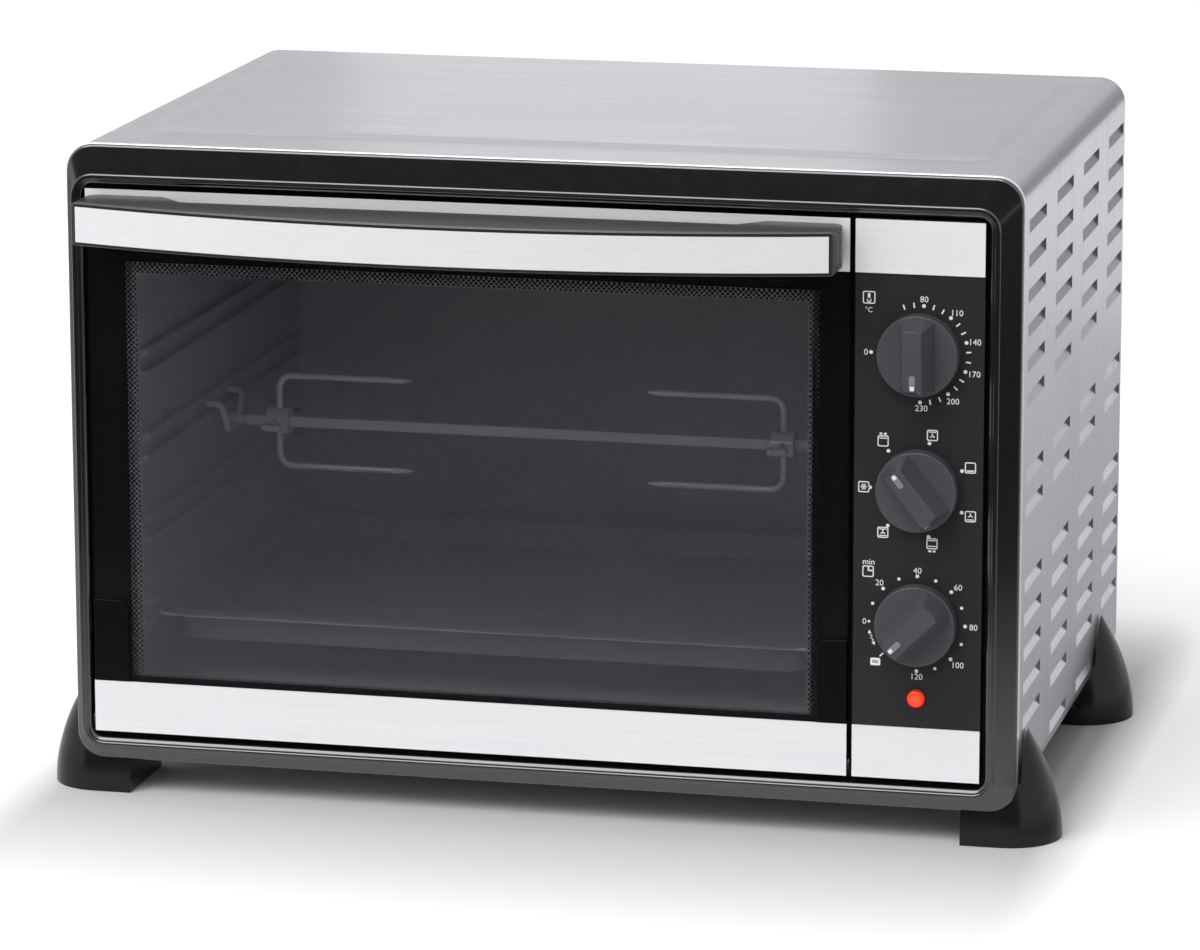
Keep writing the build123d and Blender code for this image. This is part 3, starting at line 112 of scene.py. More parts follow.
# The grain lengths of brushed and fine-textured finishes are up to twice the real ones, so that they show.
finishes = {
    # brushed stainless sheet: lines run round the wrap, so the tone changes fast along y only
    "brushedStainless": dict(colour="#c4c3ca", shade="#b0afb6", metallic=1.0, rough=0.27, spread=0.04,
                             grain=(160, 0.9, 160), cloud=(240, 60, 240), relief=0.012),
    # brushed stainless strip: lines run along x; mostly near-white diffuse rather than metal, partly a painted
    # reflection that keeps it bright and even
    "brushedStrip": dict(colour="#f7f7f9", shade="#ececf0", metallic=0.15, rough=0.4, spread=0.05,
                         grain=(90, 2, 0.7), cloud=(160, 50, 30), relief=0.005),
    # galvanised sheet: spangle about 12 mm across, dull grey
    "galvanisedSheet": dict(colour="#a9abad", shade="#8d9093", metallic=1.0, rough=0.45, spread=0.08,
                            grain=(12, 12, 12), relief=0.01),
    # gloss black ABS moulding: faint ripple, mirror-like
    "glossAbs": dict(colour="#131214", shade="#0e0d0f", rough=0.2, spread=0.04, grain=(6, 6, 6), relief=0.004,
                     specular=0.9, coat=1.0),
    # black stove enamel on pressed steel
    "blackEnamel": dict(colour="#131314", shade="#0c0c0d", rough=0.35, spread=0.06, grain=(3, 3, 3), relief=0.01),
    # aluminised steel lining: grey, slightly cloudy from heat
    "aluminisedSheet": dict(colour="#bcbbc2", shade="#a09fa6", metallic=0.2, rough=0.5, spread=0.08,
                            grain=(3, 3, 3), cloud=(90, 90, 90), relief=0.01, cloudShare=0.8),
    # powder-coated panel: fine matt stipple, about 0.6 mm
    "stippledPanel": dict(colour="#29292b", shade="#1d1d1f", rough=0.55, spread=0.07, grain=(0.9, 0.9, 0.9),
                          relief=0.03, specular=0.3),
    # phenolic switch body: brown-black moulding
    "phenolic": dict(colour="#2a211c", shade="#1b1512", rough=0.45, spread=0.08, grain=(2, 2, 2), relief=0.02),
    # zinc-plated turned steel
    "platedSteel": dict(colour="#b7b9bb", shade="#999b9e", metallic=1.0, rough=0.3, spread=0.06,
                        grain=(1.2, 1.2, 1.2), relief=0.006),
    # satin grey-black ABS knob: spark-eroded texture, about 0.5 mm
    "satinAbs": dict(colour="#555359", shade="#46444a", rough=0.24, spread=0.05, grain=(0.8, 0.8, 0.8),
                     relief=0.008, specular=0.35),
    # grey acetal pointer insert
    "acetalGrey": dict(colour="#8d8b92", shade="#77757c", rough=0.35, spread=0.04, grain=(1, 1, 1), relief=0.005),
    # white paint in the pointer tip and the screen-printed dials: flat, slightly chalky
    "printWhite": dict(colour="#f0f0f0", shade="#dedede", rough=0.6, spread=0.05, grain=(0.6, 0.6, 0.6),
                       relief=0.004, specular=0.2),
    # incoloy heater tube: brown-grey oxide skin
    "oxidisedTube": dict(colour="#4d4743", shade="#35302d", metallic=0.6, rough=0.5, spread=0.1, grain=(2, 2, 2),
                         cloud=(25, 25, 25), relief=0.02),
    # steatite bush: white, slightly glazed
    "steatite": dict(colour="#e6e2d8", shade="#d4cfc3", rough=0.35, spread=0.06, grain=(1, 1, 1), relief=0.01),
    # motor can: grey enamel on steel
    "motorEnamel": dict(colour="#55585a", shade="#464a4c", rough=0.4, spread=0.06, grain=(2, 2, 2), relief=0.02),
    # spun aluminium fan wheel
    "spunAluminium": dict(colour="#c3c5c8", shade="#acaeb2", metallic=1.0, rough=0.35, spread=0.07,
                          grain=(30, 1, 1), relief=0.01),
    # chromed spit, forks and rest: mostly near-white diffuse rather than a mirror, a painted reflection that keeps
    # them bright; fine drawing lines along x
    "brightChrome": dict(colour="#f4f4f6", shade="#e6e6ea", metallic=0.25, rough=0.16, spread=0.04,
                         grain=(40, 1, 1), relief=0.004),
    # pressed aluminium tray
    "trayAluminium": dict(colour="#a6a6ae", shade="#929299", metallic=0.3, rough=0.42, spread=0.07,
                          grain=(4, 4, 4), cloud=(60, 60, 60), relief=0.012),
    # gloss black polypropylene foot: soft moulded sheen
    "glossFoot": dict(colour="#171619", shade="#111013", rough=0.2, spread=0.04, grain=(5, 5, 5), relief=0.006,
                      specular=0.3),
    # black rubber gland
    "blackRubber": dict(colour="#1a1a1a", shade="#111111", rough=0.6, spread=0.06, grain=(1, 1, 1), relief=0.02),
    # smoked toughened glass: dark and clear, very smooth
    "smokedGlass": dict(colour="#232326", shade="#1e1e21", rough=0.06, spread=0.01, grain=(60, 60, 60),
                        relief=0.002, alpha=0.18),
    # satin black PBT handle: fine moulded grain
    "satinPbt": dict(colour="#2b292d", shade="#222024", rough=0.32, spread=0.05, grain=(0.9, 0.9, 0.9), relief=0.01),
    # the same moulding, lighter and glossier: a painted highlight on the edges of the handle's ribs
    "paintedHighlightPbt": dict(colour="#525057", shade="#434147", rough=0.22, spread=0.04, grain=(0.9, 0.9, 0.9), relief=0.005,
                      specular=0.8),
    # pale grey film behind the fired dots, a painted sheen for the light the glass edge catches
    "paintedEdgeSheen": dict(colour="#77767c", shade="#67666c", rough=0.4, spread=0.04, grain=(5, 5, 5), relief=0.002,
                     alpha=0.45),
    # black nylon hinge cover: fine satin, its rounded edges catch light
    "satinNylon": dict(colour="#0c0b0d", shade="#08070a", rough=0.3, spread=0.05, grain=(0.9, 0.9, 0.9), relief=0.006,
                       specular=0.12),
    # black ceramic frit fired on the glass
    "blackFrit": dict(colour="#09090b", shade="#060607", rough=0.3, spread=0.04, grain=(2, 2, 2), relief=0.003,
                      specular=0.15),
}
materials = {name: finish(name, look) for name, look in finishes.items()}
print("finishes made:", len(materials))

# which CAD nodes wear which finish
nodeFinish = {
    "brushedStainless": ["cover_top", "side_panel_left", "side_panel_right"],
    "brushedStrip": ["door_strip_top", "door_strip_low", "panel_trims", "handle_facing"],
    "galvanisedSheet": ["base_plate", "rear_panel"],
    "glossAbs": ["front_bezel"],
    "blackEnamel": ["front_frame", "door_frame", "door_rail", "fan_guard"],
    "aluminisedSheet": ["chamber_left_wall", "chamber_right_wall", "chamber_roof", "chamber_floor",
                        "chamber_rear_wall", "fan_well"],
    "stippledPanel": ["control_panel"],
    "phenolic": ["thermostat", "function_selector", "timer"],
    "platedSteel": ["temperature_shaft", "function_shaft", "timer_shaft", "hinge_pins", "case_screws",
                    "handle_screws", "door_stay_left", "door_stay_right", "spit_coupling"],
    "satinAbs": ["temperature_knob", "function_knob", "timer_knob"],
    "acetalGrey": ["temperature_pointer", "function_pointer", "timer_pointer"],
    "oxidisedTube": ["upper_heater", "lower_heater"],
    "steatite": ["heater_bushes"],
    "motorEnamel": ["spit_motor", "fan_motor"],
    "spunAluminium": ["fan_wheel"],
    "brightChrome": ["spit_rod", "spit_fork_left", "spit_fork_right", "fork_thumbscrews", "spit_rest"],
    "trayAluminium": ["drip_tray"],
    "glossFoot": ["foot_front_left", "foot_front_right", "foot_rear_left", "foot_rear_right"],
    "blackRubber": ["cord_gland"],
    "smokedGlass": ["door_glass"],
    "satinPbt": ["handle_grip"],
}
for finishName, names in nodeFinish.items():
    for name in names:
        nodes[name].data.materials.clear()
        nodes[name].data.materials.append(materials[finishName])
print("nodes finished:", sum(len(names) for names in nodeFinish.values()))


def gridFaces(rows, columns, loopRows=False, loopColumns=False, caps=False):
    # quads between neighbours of a rows x columns grid; a looped direction joins its last line to its first
    index = np.arange(rows * columns).reshape(rows, columns)
    if loopColumns:
        index = np.concatenate([index, index[:, :1]], axis=1)
    if loopRows:
        index = np.concatenate([index, index[:1]], axis=0)
    quads = np.stack([index[:-1, :-1], index[:-1, 1:], index[1:, 1:], index[1:, :-1]], axis=-1)
    faces = quads.reshape(-1, 4).tolist()
    if caps:
        faces += [index[0, :columns].tolist(), index[-1, :columns][::-1].tolist()]
    return faces


def joined(parts):
    # several (points, faces) shapes as one
    points, faces, start = [], [], 0
    for shape, shapeFaces in parts:
        points.append(np.asarray(shape).reshape(-1, 3))
        faces += [[corner + start for corner in face] for face in shapeFaces]
        start += len(points[-1])
    return np.concatenate(points), faces


def makePiece(name, parts, finishName, body, sharp=35, bevel=0):
    # points are in mm in the CAD frame; faces are turned outwards, and edges steeper than sharp degrees stay crisp
    points, faces = joined(parts)
    mesh = bpy.data.meshes.new(name)
    mesh.from_pydata((points * mm).tolist(), [], faces)
    shell = bmesh.new()
    shell.from_mesh(mesh)
    bmesh.ops.remove_doubles(shell, verts=shell.verts, dist=1e-7)  # metres
    bmesh.ops.recalc_face_normals(shell, faces=shell.faces)
    shell.to_mesh(mesh)
    shell.free()
    mesh.shade_smooth()
    mesh.set_sharp_from_angle(angle=math.radians(sharp))
    mesh.materials.append(materials[finishName])
    piece = bpy.data.objects.new(name, mesh)
    bpy.context.scene.collection.objects.link(piece)
    if bevel:
        rounding = piece.modifiers.new("rounding", "BEVEL")
        rounding.width = bevel * mm
        rounding.segments = 3
        rounding.limit_method = "ANGLE"
        rounding.angle_limit = math.radians(sharp)
    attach(piece, body)


def boxMm(node):
    # a CAD node's lowest and highest corners in mm
    return [np.array(corner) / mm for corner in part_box(node)]


def roundedRect(centre, size, radius, steps=6):
    # corner arcs of one radius round a rectangle, counter-clockwise from the lower right; radius 0 keeps the corners
    half = np.array(size) / 2 - radius
    corner = np.array([[1, -1], [1, 1], [-1, 1], [-1, -1]]) * half
    turn = np.radians(np.linspace(-90, 0, steps + 1) + np.array([[0], [90], [180], [270]]))
    arc = radius * np.stack([np.cos(turn), np.sin(turn)], axis=-1)
    return (corner[:, None] + arc).reshape(-1, 2) + np.array(centre)


def circle(centre, radius, steps):
    # points at equal angles, at one radius from the centre
    turn = np.linspace(0, 2 * np.pi, steps, endpoint=False)
    return np.array(centre) + radius * np.stack([np.cos(turn), np.sin(turn)], axis=-1)


def atDepth(outline, depth):
    # an outline in x and z, placed at the depth y
    return np.stack([outline[:, 0], np.full(len(outline), float(depth)), outline[:, 1]], axis=-1)


def plate(outline, front, back):
    # an outline carried straight from the depth front to the depth back, closed at both ends
    rows = np.stack([atDepth(outline, front), atDepth(outline, back)])
    return rows, gridFaces(2, len(outline), loopColumns=True, caps=True)


def ringPlate(outer, inner, front, back):
    # a flat ring between two outlines with the same number of points
    rows = np.stack([atDepth(outer, front), atDepth(inner, front), atDepth(inner, back), atDepth(outer, back)])
    return rows, gridFaces(4, len(outer), loopRows=True, loopColumns=True)


def strokePlate(path, width, front, back):
    # a line of one width along a path in x and z, with square ends
    path = np.asarray(path, float)
    along = np.gradient(path, axis=0)
    side = np.stack([-along[:, 1], along[:, 0]], axis=-1)
    side *= width / 2 / np.linalg.norm(side, axis=1, keepdims=True)
    rows = np.stack([atDepth(path + side, front), atDepth(path - side, front),
                     atDepth(path - side, back), atDepth(path + side, back)], axis=1)
    return rows, gridFaces(len(path), 4, loopColumns=True, caps=True)


# Door glass print: a solid black border, and staggered dots on three sides that shrink towards the clear window.
fritLook = dict(left=-246.0, right=164.0, low=71.0, high=318.0, band=6.5, step=1.5,
                outerDot=1.02, innerDot=0.62, dotSides=8, film=0.05, sill=0.4, margin=0.4, paneCorner=0.5,
                windowCorner=1.0)


def fritDots(look, back):
    # staggered lattice of octagons; a dot's radius falls with its distance from the border at the sides and the top
    sides = look["dotSides"]
    low = np.array([look["left"], look["low"]])
    high = np.array([look["right"], look["high"]])
    count = np.floor((high - low) / look["step"]).astype(int) + 1
    column, row = np.meshgrid(np.arange(count[0]), np.arange(count[1]), indexing="ij")
    keep = (column + row) % 2 == 0
    spot = low + np.stack([column[keep], row[keep]], axis=-1) * look["step"]
    inside = np.minimum((spot - low)[:, 0], (high - spot).min(axis=1))
    spot, inside = spot[inside < look["band"]], inside[inside < look["band"]]
    radius = look["outerDot"] + (look["innerDot"] - look["outerDot"]) * inside / look["band"]
    rim = spot[:, None] + radius[:, None, None] * circle((0, 0), 1.0, sides)
    depth = np.broadcast_to(np.array([back - look["film"], back])[None, :, None], (len(spot), 2, sides))
    both = np.broadcast_to(rim[:, None], (len(spot), 2, sides, 2))
    points = np.stack([both[..., 0], depth, both[..., 1]], axis=-1)
    start = 2 * sides * np.arange(len(spot))[:, None, None]
    one = gridFaces(2, sides, loopColumns=True, caps=True)
    quads = (np.array(one[:-2])[None] + start).reshape(-1, 4).tolist()
    ends = (np.array(one[-2:])[None] + start).reshape(-1, sides).tolist()
    return points, quads + ends


glassLow, glassHigh = boxMm("door_glass")
glassBack = glassHigh[1]
glassCentre, glassSize = (glassLow + glassHigh)[[0, 2]] / 2, (glassHigh - glassLow)[[0, 2]]
windowCentre = ((fritLook["left"] + fritLook["right"]) / 2, (fritLook["low"] + fritLook["high"]) / 2)
windowSize = (fritLook["right"] - fritLook["left"], fritLook["high"] - fritLook["low"])
paneOutline = roundedRect(glassCentre, glassSize - fritLook["margin"], fritLook["paneCorner"])
windowOutline = roundedRect(windowCentre, windowSize, fritLook["windowCorner"])
border = ringPlate(paneOutline, windowOutline, glassBack - fritLook["film"], glassBack)
makePiece("glassBorder", [border], "blackFrit", "door")
# the clear window lies inside the dots at the sides and the top, and a sill's height above the border
clearSize = np.array(windowSize) - fritLook["band"] * np.array([2, 1])
clearCentre = np.array(windowCentre) - np.array([0, fritLook["band"] / 2 - fritLook["sill"] / 2])
clearSize[1] -= fritLook["sill"]
clearOutline = roundedRect(clearCentre, clearSize, fritLook["windowCorner"])
# a pale ring behind the dots, a painted sheen where the glass edge catches light
edgeSheen = ringPlate(windowOutline, clearOutline, glassBack, glassBack + fritLook["film"])
makePiece("glassEdgeSheen", [edgeSheen], "paintedEdgeSheen", "door")

# painted reflection inside the pane: a grey film that stands in for the pale floor mirrored in the glass and lightens
# the shade under the tray; thin at the top and thicker towards the bottom, slightly cloudy
reflectionLook = dict(colour="#70707a", low=(77.0, 0.3), high=(305.0, 0.06), cloud=60.0, cloudSpan=(0.8, 1.2), rough=0.6)
materials["paintedGlassReflection"], tree = emptyMaterial("paintedGlassReflection")
place = addNode(tree, "ShaderNodeTexCoord").outputs["Object"]
rise = addNode(tree, "ShaderNodeSeparateXYZ", inputs={0: place}).outputs["Z"]
film = addNode(tree, "ShaderNodeMapRange", inputs={
    "Value": rise, "From Min": reflectionLook["low"][0] * mm, "From Max": reflectionLook["high"][0] * mm,
    "To Min": reflectionLook["low"][1], "To Max": reflectionLook["high"][1]}).outputs["Result"]
clouds = addNode(tree, "ShaderNodeTexNoise", inputs={
    "Vector": place, "Scale": 1.0 / (reflectionLook["cloud"] * mm), "Detail": patternLook["cloudDetail"]}).outputs["Fac"]
clouds = addNode(tree, "ShaderNodeMapRange", inputs={
    "Value": clouds, "To Min": reflectionLook["cloudSpan"][0], "To Max": reflectionLook["cloudSpan"][1]}).outputs["Result"]
film = addNode(tree, "ShaderNodeMath", {"operation": "MULTIPLY"}, {0: film, 1: clouds}).outputs[0]
shader = addNode(tree, "ShaderNodeBsdfPrincipled", inputs={
    "Base Color": linear(reflectionLook["colour"]), "Roughness": reflectionLook["rough"], "Specular IOR Level": 0.0,
    "Alpha": film})
addNode(tree, "ShaderNodeOutputMaterial", inputs={"Surface": shader.outputs[0]})
makePiece("windowReflection", [plate(clearOutline, glassBack, glassBack + fritLook["film"])], "paintedGlassReflection", "door")
makePiece("glassDots", [fritDots(fritLook, glassBack)], "blackFrit", "door")

# Hinge covers: thin plates over the glass above the lower strip, with one rounded corner each.
# Each ends a little short of the window and of the pane's edge.
coverLook = dict(top=117.0, proud=1.2, radius=7.0, cornerSteps=9, edge=0.5, short=0.5, inset=0.3)
coverFoot = boxMm("door_strip_low")[1][2]
for side, inner, outer in (("Left", fritLook["left"] - coverLook["short"], glassLow[0] + coverLook["inset"]),
                           ("Right", fritLook["right"] + coverLook["short"], glassHigh[0] - coverLook["inset"])):
    toward = math.copysign(1.0, inner - outer)
    turn = np.radians(np.linspace(0, 90, coverLook["cornerSteps"]))
    radius = coverLook["radius"]
    roundCorner = np.stack([inner - toward * radius * (1 - np.cos(turn)),
                            coverLook["top"] - radius * (1 - np.sin(turn))], axis=-1)
    outline = np.concatenate([[[outer, coverFoot], [inner, coverFoot]], roundCorner, [[outer, coverLook["top"]]]])
    makePiece("hingeCover" + side, [plate(outline, glassLow[1] - coverLook["proud"], glassLow[1])], "satinNylon",
              "door", bevel=coverLook["edge"])
print("door print and hinge covers made")

# Dial print on the control panel: dots, ticks, numbers and plain pictograms.
panelFront = boxMm("control_panel")[0][1]
dialLook = dict(ring=27.7, film=0.06, digits=3.6, dot=1.1, midDot=0.95, zeroDot=0.8, dotSides=16, tick=(0.85, 2.9),
                stroke=0.62, icon=6.4, iconCorner=(1.0, 0.5), cornerSteps=4)
ink = (panelFront - dialLook["film"], panelFront)
dialCentre = {name: (boxMm(name + "_shaft")[0] + boxMm(name + "_shaft")[1])[[0, 2]] / 2
              for name in ("temperature", "function", "timer")}


def lettering(words, height, centre):
    # text made a mesh, scaled so that its figures have this height, then laid in the panel's plane
    digitHeight = 0.73  # figures of Blender's own font at size 1
    curve = bpy.data.curves.new("words", "FONT")
    curve.body = words
    curve.resolution_u = 3
    curve.extrude = dialLook["film"] * digitHeight / height / 2
    item = bpy.data.objects.new("words", curve)
    bpy.context.scene.collection.objects.link(item)
    mesh = bpy.data.meshes.new_from_object(item)
    flat = np.empty(len(mesh.vertices) * 3)
    mesh.vertices.foreach_get("co", flat)
    flat = flat.reshape(-1, 3)
    faces = [list(face.vertices) for face in mesh.polygons]
    bpy.data.objects.remove(item)
    bpy.data.meshes.remove(mesh)
    flat = (flat - (flat.min(axis=0) + flat.max(axis=0)) / 2) * height / digitHeight
    return np.stack([flat[:, 0] + centre[0], sum(ink) / 2 - flat[:, 2], flat[:, 1] + centre[1]], axis=-1), faces


def polar(centre, angle, radius):
    # the point at an angle in degrees and a radius from the centre
    return np.array(centre) + radius * np.array([math.cos(math.radians(angle)), math.sin(math.radians(angle))])


def dotMark(centre, radius):
    # a round dot of ink
    return plate(circle(centre, radius, dialLook["dotSides"]), *ink)


def tickMark(centre, angle, radius):
    # a short line that points away from the centre, its middle at the radius
    width, length = dialLook["tick"]
    ends = [polar(centre, angle, radius - length / 2), polar(centre, angle, radius + length / 2)]
    return strokePlate(ends, width, *ink)


def line(points, width=dialLook["stroke"]):
    # a line of ink along a few points
    return strokePlate(points, width, *ink)


def iconBox(centre, size):
    # a square frame one stroke wide, with rounded corners
    clear = size - 2 * dialLook["stroke"]
    outerCorner, innerCorner = dialLook["iconCorner"]
    return ringPlate(roundedRect(centre, (size, size), outerCorner, dialLook["cornerSteps"]),
                     roundedRect(centre, (clear, clear), innerCorner, dialLook["cornerSteps"]), *ink)


def fanMark(centre):
    # three short blades from a hub
    blades = [line([polar(centre, turn, 0.2), polar(centre, turn, 1.5)], 0.75) for turn in (90, 210, 330)]
    return blades + [dotMark(centre, 0.5)]


def bar(centre, height, width=4.4, thick=0.6):
    # a level bar at a height above the pictogram's centre
    return line([(centre[0] - width / 2, centre[1] + height), (centre[0] + width / 2, centre[1] + height)], thick)


def blocks(centre, height):
    # two short blocks side by side, at a height above the pictogram's centre
    return [line([(centre[0] + x - 0.8, centre[1] + height), (centre[0] + x + 0.8, centre[1] + height)], 1.1)
            for x in (-1.25, 1.25)]


ring = dialLook["ring"]
marks = []
# temperature: numbers with their offset from the dot, two ticks between each pair
centre = dialCentre["temperature"]
scale = [("80", 85.5, (0.2, 3.8)), ("110", 50.5, (3.8, 3.0)), ("140", 16, (5.2, 0.5)), ("170", -19, (5.4, -1.2)),
         ("200", -53.5, (2.8, -4.0)), ("230", -89, (0.8, -3.3)), ("0", 180, (-2.9, 0.0))]
for words, angle, offset in scale:
    spot = polar(centre, angle, ring)
    marks += [dotMark(spot, dialLook["dot"]), lettering(words, dialLook["digits"], spot + np.array(offset))]
mainAngles = [angle for _, angle, _ in scale[:-1]]
tickAngles = [109, 97]
tickAngles += [a + (b - a) * share for a, b in zip(mainAngles, mainAngles[1:]) for share in (1 / 3, 2 / 3)]
marks += [tickMark(centre, angle, ring + 0.3) for angle in tickAngles]
# thermometer in a box, with its unit below
corner = centre + np.array([-29.1, 31.3])
marks += [iconBox(corner, 7.2), line([corner + np.array([0, -2.0]), corner + np.array([0, 2.4])], 1.5),
          dotMark(corner + np.array([0, -1.5]), 1.35)]
marks += [lettering("°C", 3.0, corner + np.array([0, -7.0]))]
# functions: a dot for each position, and a box with bars or a fan
centre = dialCentre["function"]
icons = [(180, (-31.3, 0.2)), (128.6, (-20.4, 27.2)), (77.1, (7.8, 31.7)), (25.7, (29.7, 14.0)),
         (-25.7, (30.0, -14.1)), (-77.1, (8.2, -30.9)), (-128.6, (-20.1, -25.7))]
marks += [dotMark(polar(centre, angle, ring), dialLook["dot"]) for angle, _ in icons]
spots = [centre + np.array(place) for _, place in icons]
marks += [iconBox(spot, dialLook["icon"]) for spot in spots]
# defrost star: three strokes with a small angle across each arm
marks += [line([polar(spots[0], turn, -1.9), polar(spots[0], turn, 1.9)], 0.5) for turn in (0, 60, 120)]
marks += [line([polar(spots[0], turn - 30, 1.5), polar(spots[0], turn, 0.9), polar(spots[0], turn + 30, 1.5)], 0.35)
          for turn in range(0, 360, 60)]
marks += [bar(spots[1], 1.6)] + blocks(spots[1], 4.2)
marks += [bar(spots[2], 1.9)] + fanMark(spots[2] + np.array([0, -0.4]))
marks += [bar(spots[3], -1.8, thick=0.8)]
marks += [bar(spots[4], -1.9)] + fanMark(spots[4] + np.array([0, 0.5]))
marks += [bar(spots[5], 1.8), bar(spots[5], -1.5)] + blocks(spots[5], -4.4)
marks += [bar(spots[6], 1.9), bar(spots[6], -1.9)] + fanMark(spots[6])
# timer: numbers every 45 degrees, a smaller dot between, and the stay-on mark past zero
centre = dialCentre["timer"]
scale = [("0", 180, (-2.6, 0.0)), ("20", 135, (-2.2, 3.4)), ("40", 90, (0.0, 3.3)), ("60", 45, (3.9, 2.8)),
         ("80", 0, (4.8, -0.4)), ("100", -45, (4.4, -3.3)), ("120", -90, (0.4, -3.2))]
for words, angle, offset in scale:
    spot = polar(centre, angle, ring)
    marks += [dotMark(spot, dialLook["dot"] if angle < 180 else dialLook["zeroDot"]),
              lettering(words, dialLook["digits"], spot + np.array(offset))]
marks += [dotMark(polar(centre, angle, ring), dialLook["midDot"]) for angle in np.arange(-67.5, 170, 45)]
# clock hands in a box, with their unit above
corner = centre + np.array([-28.4, 29.2])
marks += [iconBox(corner, 6.6), line([corner + np.array([0.2, 2.6]), corner + np.array([0.2, 0.5])], 0.9),
          line([corner + np.array([-0.2, 0.5]), corner + np.array([2.6, 0.5])], 0.9),
          lettering("min", 3.6, corner + np.array([0.3, 5.6]))]
# stay-on mark: a filled box with three strokes in its middle, a tick, and a wavy arrow from zero
stayOn = centre + np.array([-23.8, -23.4])
marks += [ringPlate(roundedRect(stayOn, (5.8, 4.4), 0.9, dialLook["cornerSteps"]),
                    roundedRect(stayOn, (3.2, 1.6), 0.3, dialLook["cornerSteps"]), *ink)]
marks += [line([stayOn + np.array([x, -0.8]), stayOn + np.array([x + 0.9, 0.8])], 0.4) for x in (-1.2, -0.2, 0.8)]
marks += [tickMark(centre, -136.7, ring + 0.2)]
for spot, turn in ((np.array([-27.3, -6.2]), 97), (np.array([-24.8, -12.6]), 297)):
    tip = [polar(centre + spot, turn + step, 1.35) for step in (0, 125, 235)]
    marks += [plate(np.array(tip), *ink)]
marks += [line([centre + np.array(spot) for spot in ((-27.2, -7.6), (-25.6, -8.4), (-26.8, -9.6), (-25.0, -10.4),
                                                     (-25.6, -11.6))], 0.5)]
makePiece("dialPrint", marks, "printWhite", "case", sharp=30)
print("dial print made:", len(marks), "marks")

# Lamp: a lit acrylic lens, orange-red in the middle and deep red at its edge, in a thin dark ring.
lampLow, lampHigh = boxMm("indicator_lens")
lampLook = dict(width=0.7, height=0.5, steps=40, archSteps=9, middle="#ff4a22", edge="#c3230a", rough=0.15,
                glow=0.55, core=1.5)


def torusRing(centre, radius, section, depth, steps, archSteps):
    # a half-round section, wide and high, carried round a circle that faces the front
    turn = np.linspace(0, 2 * np.pi, steps, endpoint=False)
    arch = np.linspace(0, np.pi, archSteps)
    reach = radius + section[0] / 2 * np.cos(arch)
    rise = section[1] * np.sin(arch)
    points = np.stack([centre[0] + np.cos(turn)[:, None] * reach,
                       np.broadcast_to(depth - rise, (steps, archSteps)),
                       centre[1] + np.sin(turn)[:, None] * reach], axis=-1)
    return points, gridFaces(steps, archSteps, loopRows=True, loopColumns=True)


lampCentre = (lampLow + lampHigh)[[0, 2]] / 2
lampRadius = (lampHigh - lampLow)[0] / 2
rim = torusRing(lampCentre, lampRadius + lampLook["width"] / 2, (lampLook["width"], lampLook["height"]), panelFront,
                lampLook["steps"], lampLook["archSteps"])
makePiece("lampRim", [rim], "blackEnamel", "case")
# the lens: its tone runs from the middle to the edge with the distance from the lamp's axis
materials["litAcrylic"], tree = emptyMaterial("litAcrylic")
place = addNode(tree, "ShaderNodeTexCoord").outputs["Object"]
offset = addNode(tree, "ShaderNodeVectorMath", {"operation": "SUBTRACT"}, {
    0: place, 1: (lampCentre[0] * mm, 0, lampCentre[1] * mm)}).outputs[0]
offset = addNode(tree, "ShaderNodeVectorMath", {"operation": "MULTIPLY"}, {0: offset, 1: (1, 0, 1)}).outputs[0]
away = addNode(tree, "ShaderNodeVectorMath", {"operation": "LENGTH"}, {0: offset}).outputs["Value"]
share = addNode(tree, "ShaderNodeMapRange", inputs={
    "Value": away, "From Min": lampLook["core"] * mm, "From Max": lampRadius * mm}).outputs["Result"]
tone = addNode(tree, "ShaderNodeMix", {"data_type": "RGBA"}, {
    0: share, 6: linear(lampLook["middle"]), 7: linear(lampLook["edge"])}).outputs[2]
shader = addNode(tree, "ShaderNodeBsdfPrincipled", inputs={
    "Base Color": tone, "Roughness": lampLook["rough"], "Emission Color": tone,
    "Emission Strength": lampLook["glow"]})
addNode(tree, "ShaderNodeOutputMaterial", inputs={"Surface": shader.outputs[0]})
nodes["indicator_lens"].data.materials.clear()
nodes["indicator_lens"].data.materials.append(materials["litAcrylic"])
print("lamp made")


def bandLoop(path, axis, height, width, closed=True, steps=12):
    # an oval section, high across the path and wide along the axis, carried along an open or a closed path
    along = np.roll(path, -1, axis=0) - np.roll(path, 1, axis=0) if closed else np.gradient(path, axis=0)
    out = np.cross(axis, along)
    out /= np.linalg.norm(out, axis=1, keepdims=True)
    turn = np.linspace(0, 2 * np.pi, steps, endpoint=False)[None, :, None]
    points = path[:, None] + out[:, None] * height * np.cos(turn) + np.array(axis) * width / 2 * np.sin(turn)
    return points, gridFaces(len(path), steps, loopRows=closed, loopColumns=True, caps=not closed)


def evenly(outline, count):
    # the same closed outline with points at equal steps along it
    closed = np.concatenate([outline, outline[:1]])
    run = np.concatenate([[0], np.cumsum(np.linalg.norm(np.diff(closed, axis=0), axis=1))])
    at = np.linspace(0, run[-1], count, endpoint=False)
    return np.stack([np.interp(at, run, closed[:, 0]), np.interp(at, run, closed[:, 1])], axis=-1)


# Handle: two fine lips round the moulding behind its facing, and upright ribs on both ends.
ribLook = dict(bow=30.0, lips=(0.9, 4.0), lipHeight=0.55, lipWidth=1.1, corner=1.2, points=700,
               uprights=(9.0, 14.5, 20.0), uprightHeight=0.6, uprightWidth=2.6, uprightEnd=1.6, uprightGrid=(17, 14),
               squareness=16)
gripLow, gripHigh = boxMm("handle_grip")
gripCentre, gripSize = ((gripLow + gripHigh) / 2)[[0, 2]], (gripHigh - gripLow)[[0, 2]]
bowRadius = ((gripSize[0] / 2) ** 2 + ribLook["bow"] ** 2) / (2 * ribLook["bow"])


def bowFront(x):
    # depth of the moulding's bowed front at x
    return gripLow[1] + bowRadius - np.sqrt(bowRadius ** 2 - (x - gripCentre[0]) ** 2)


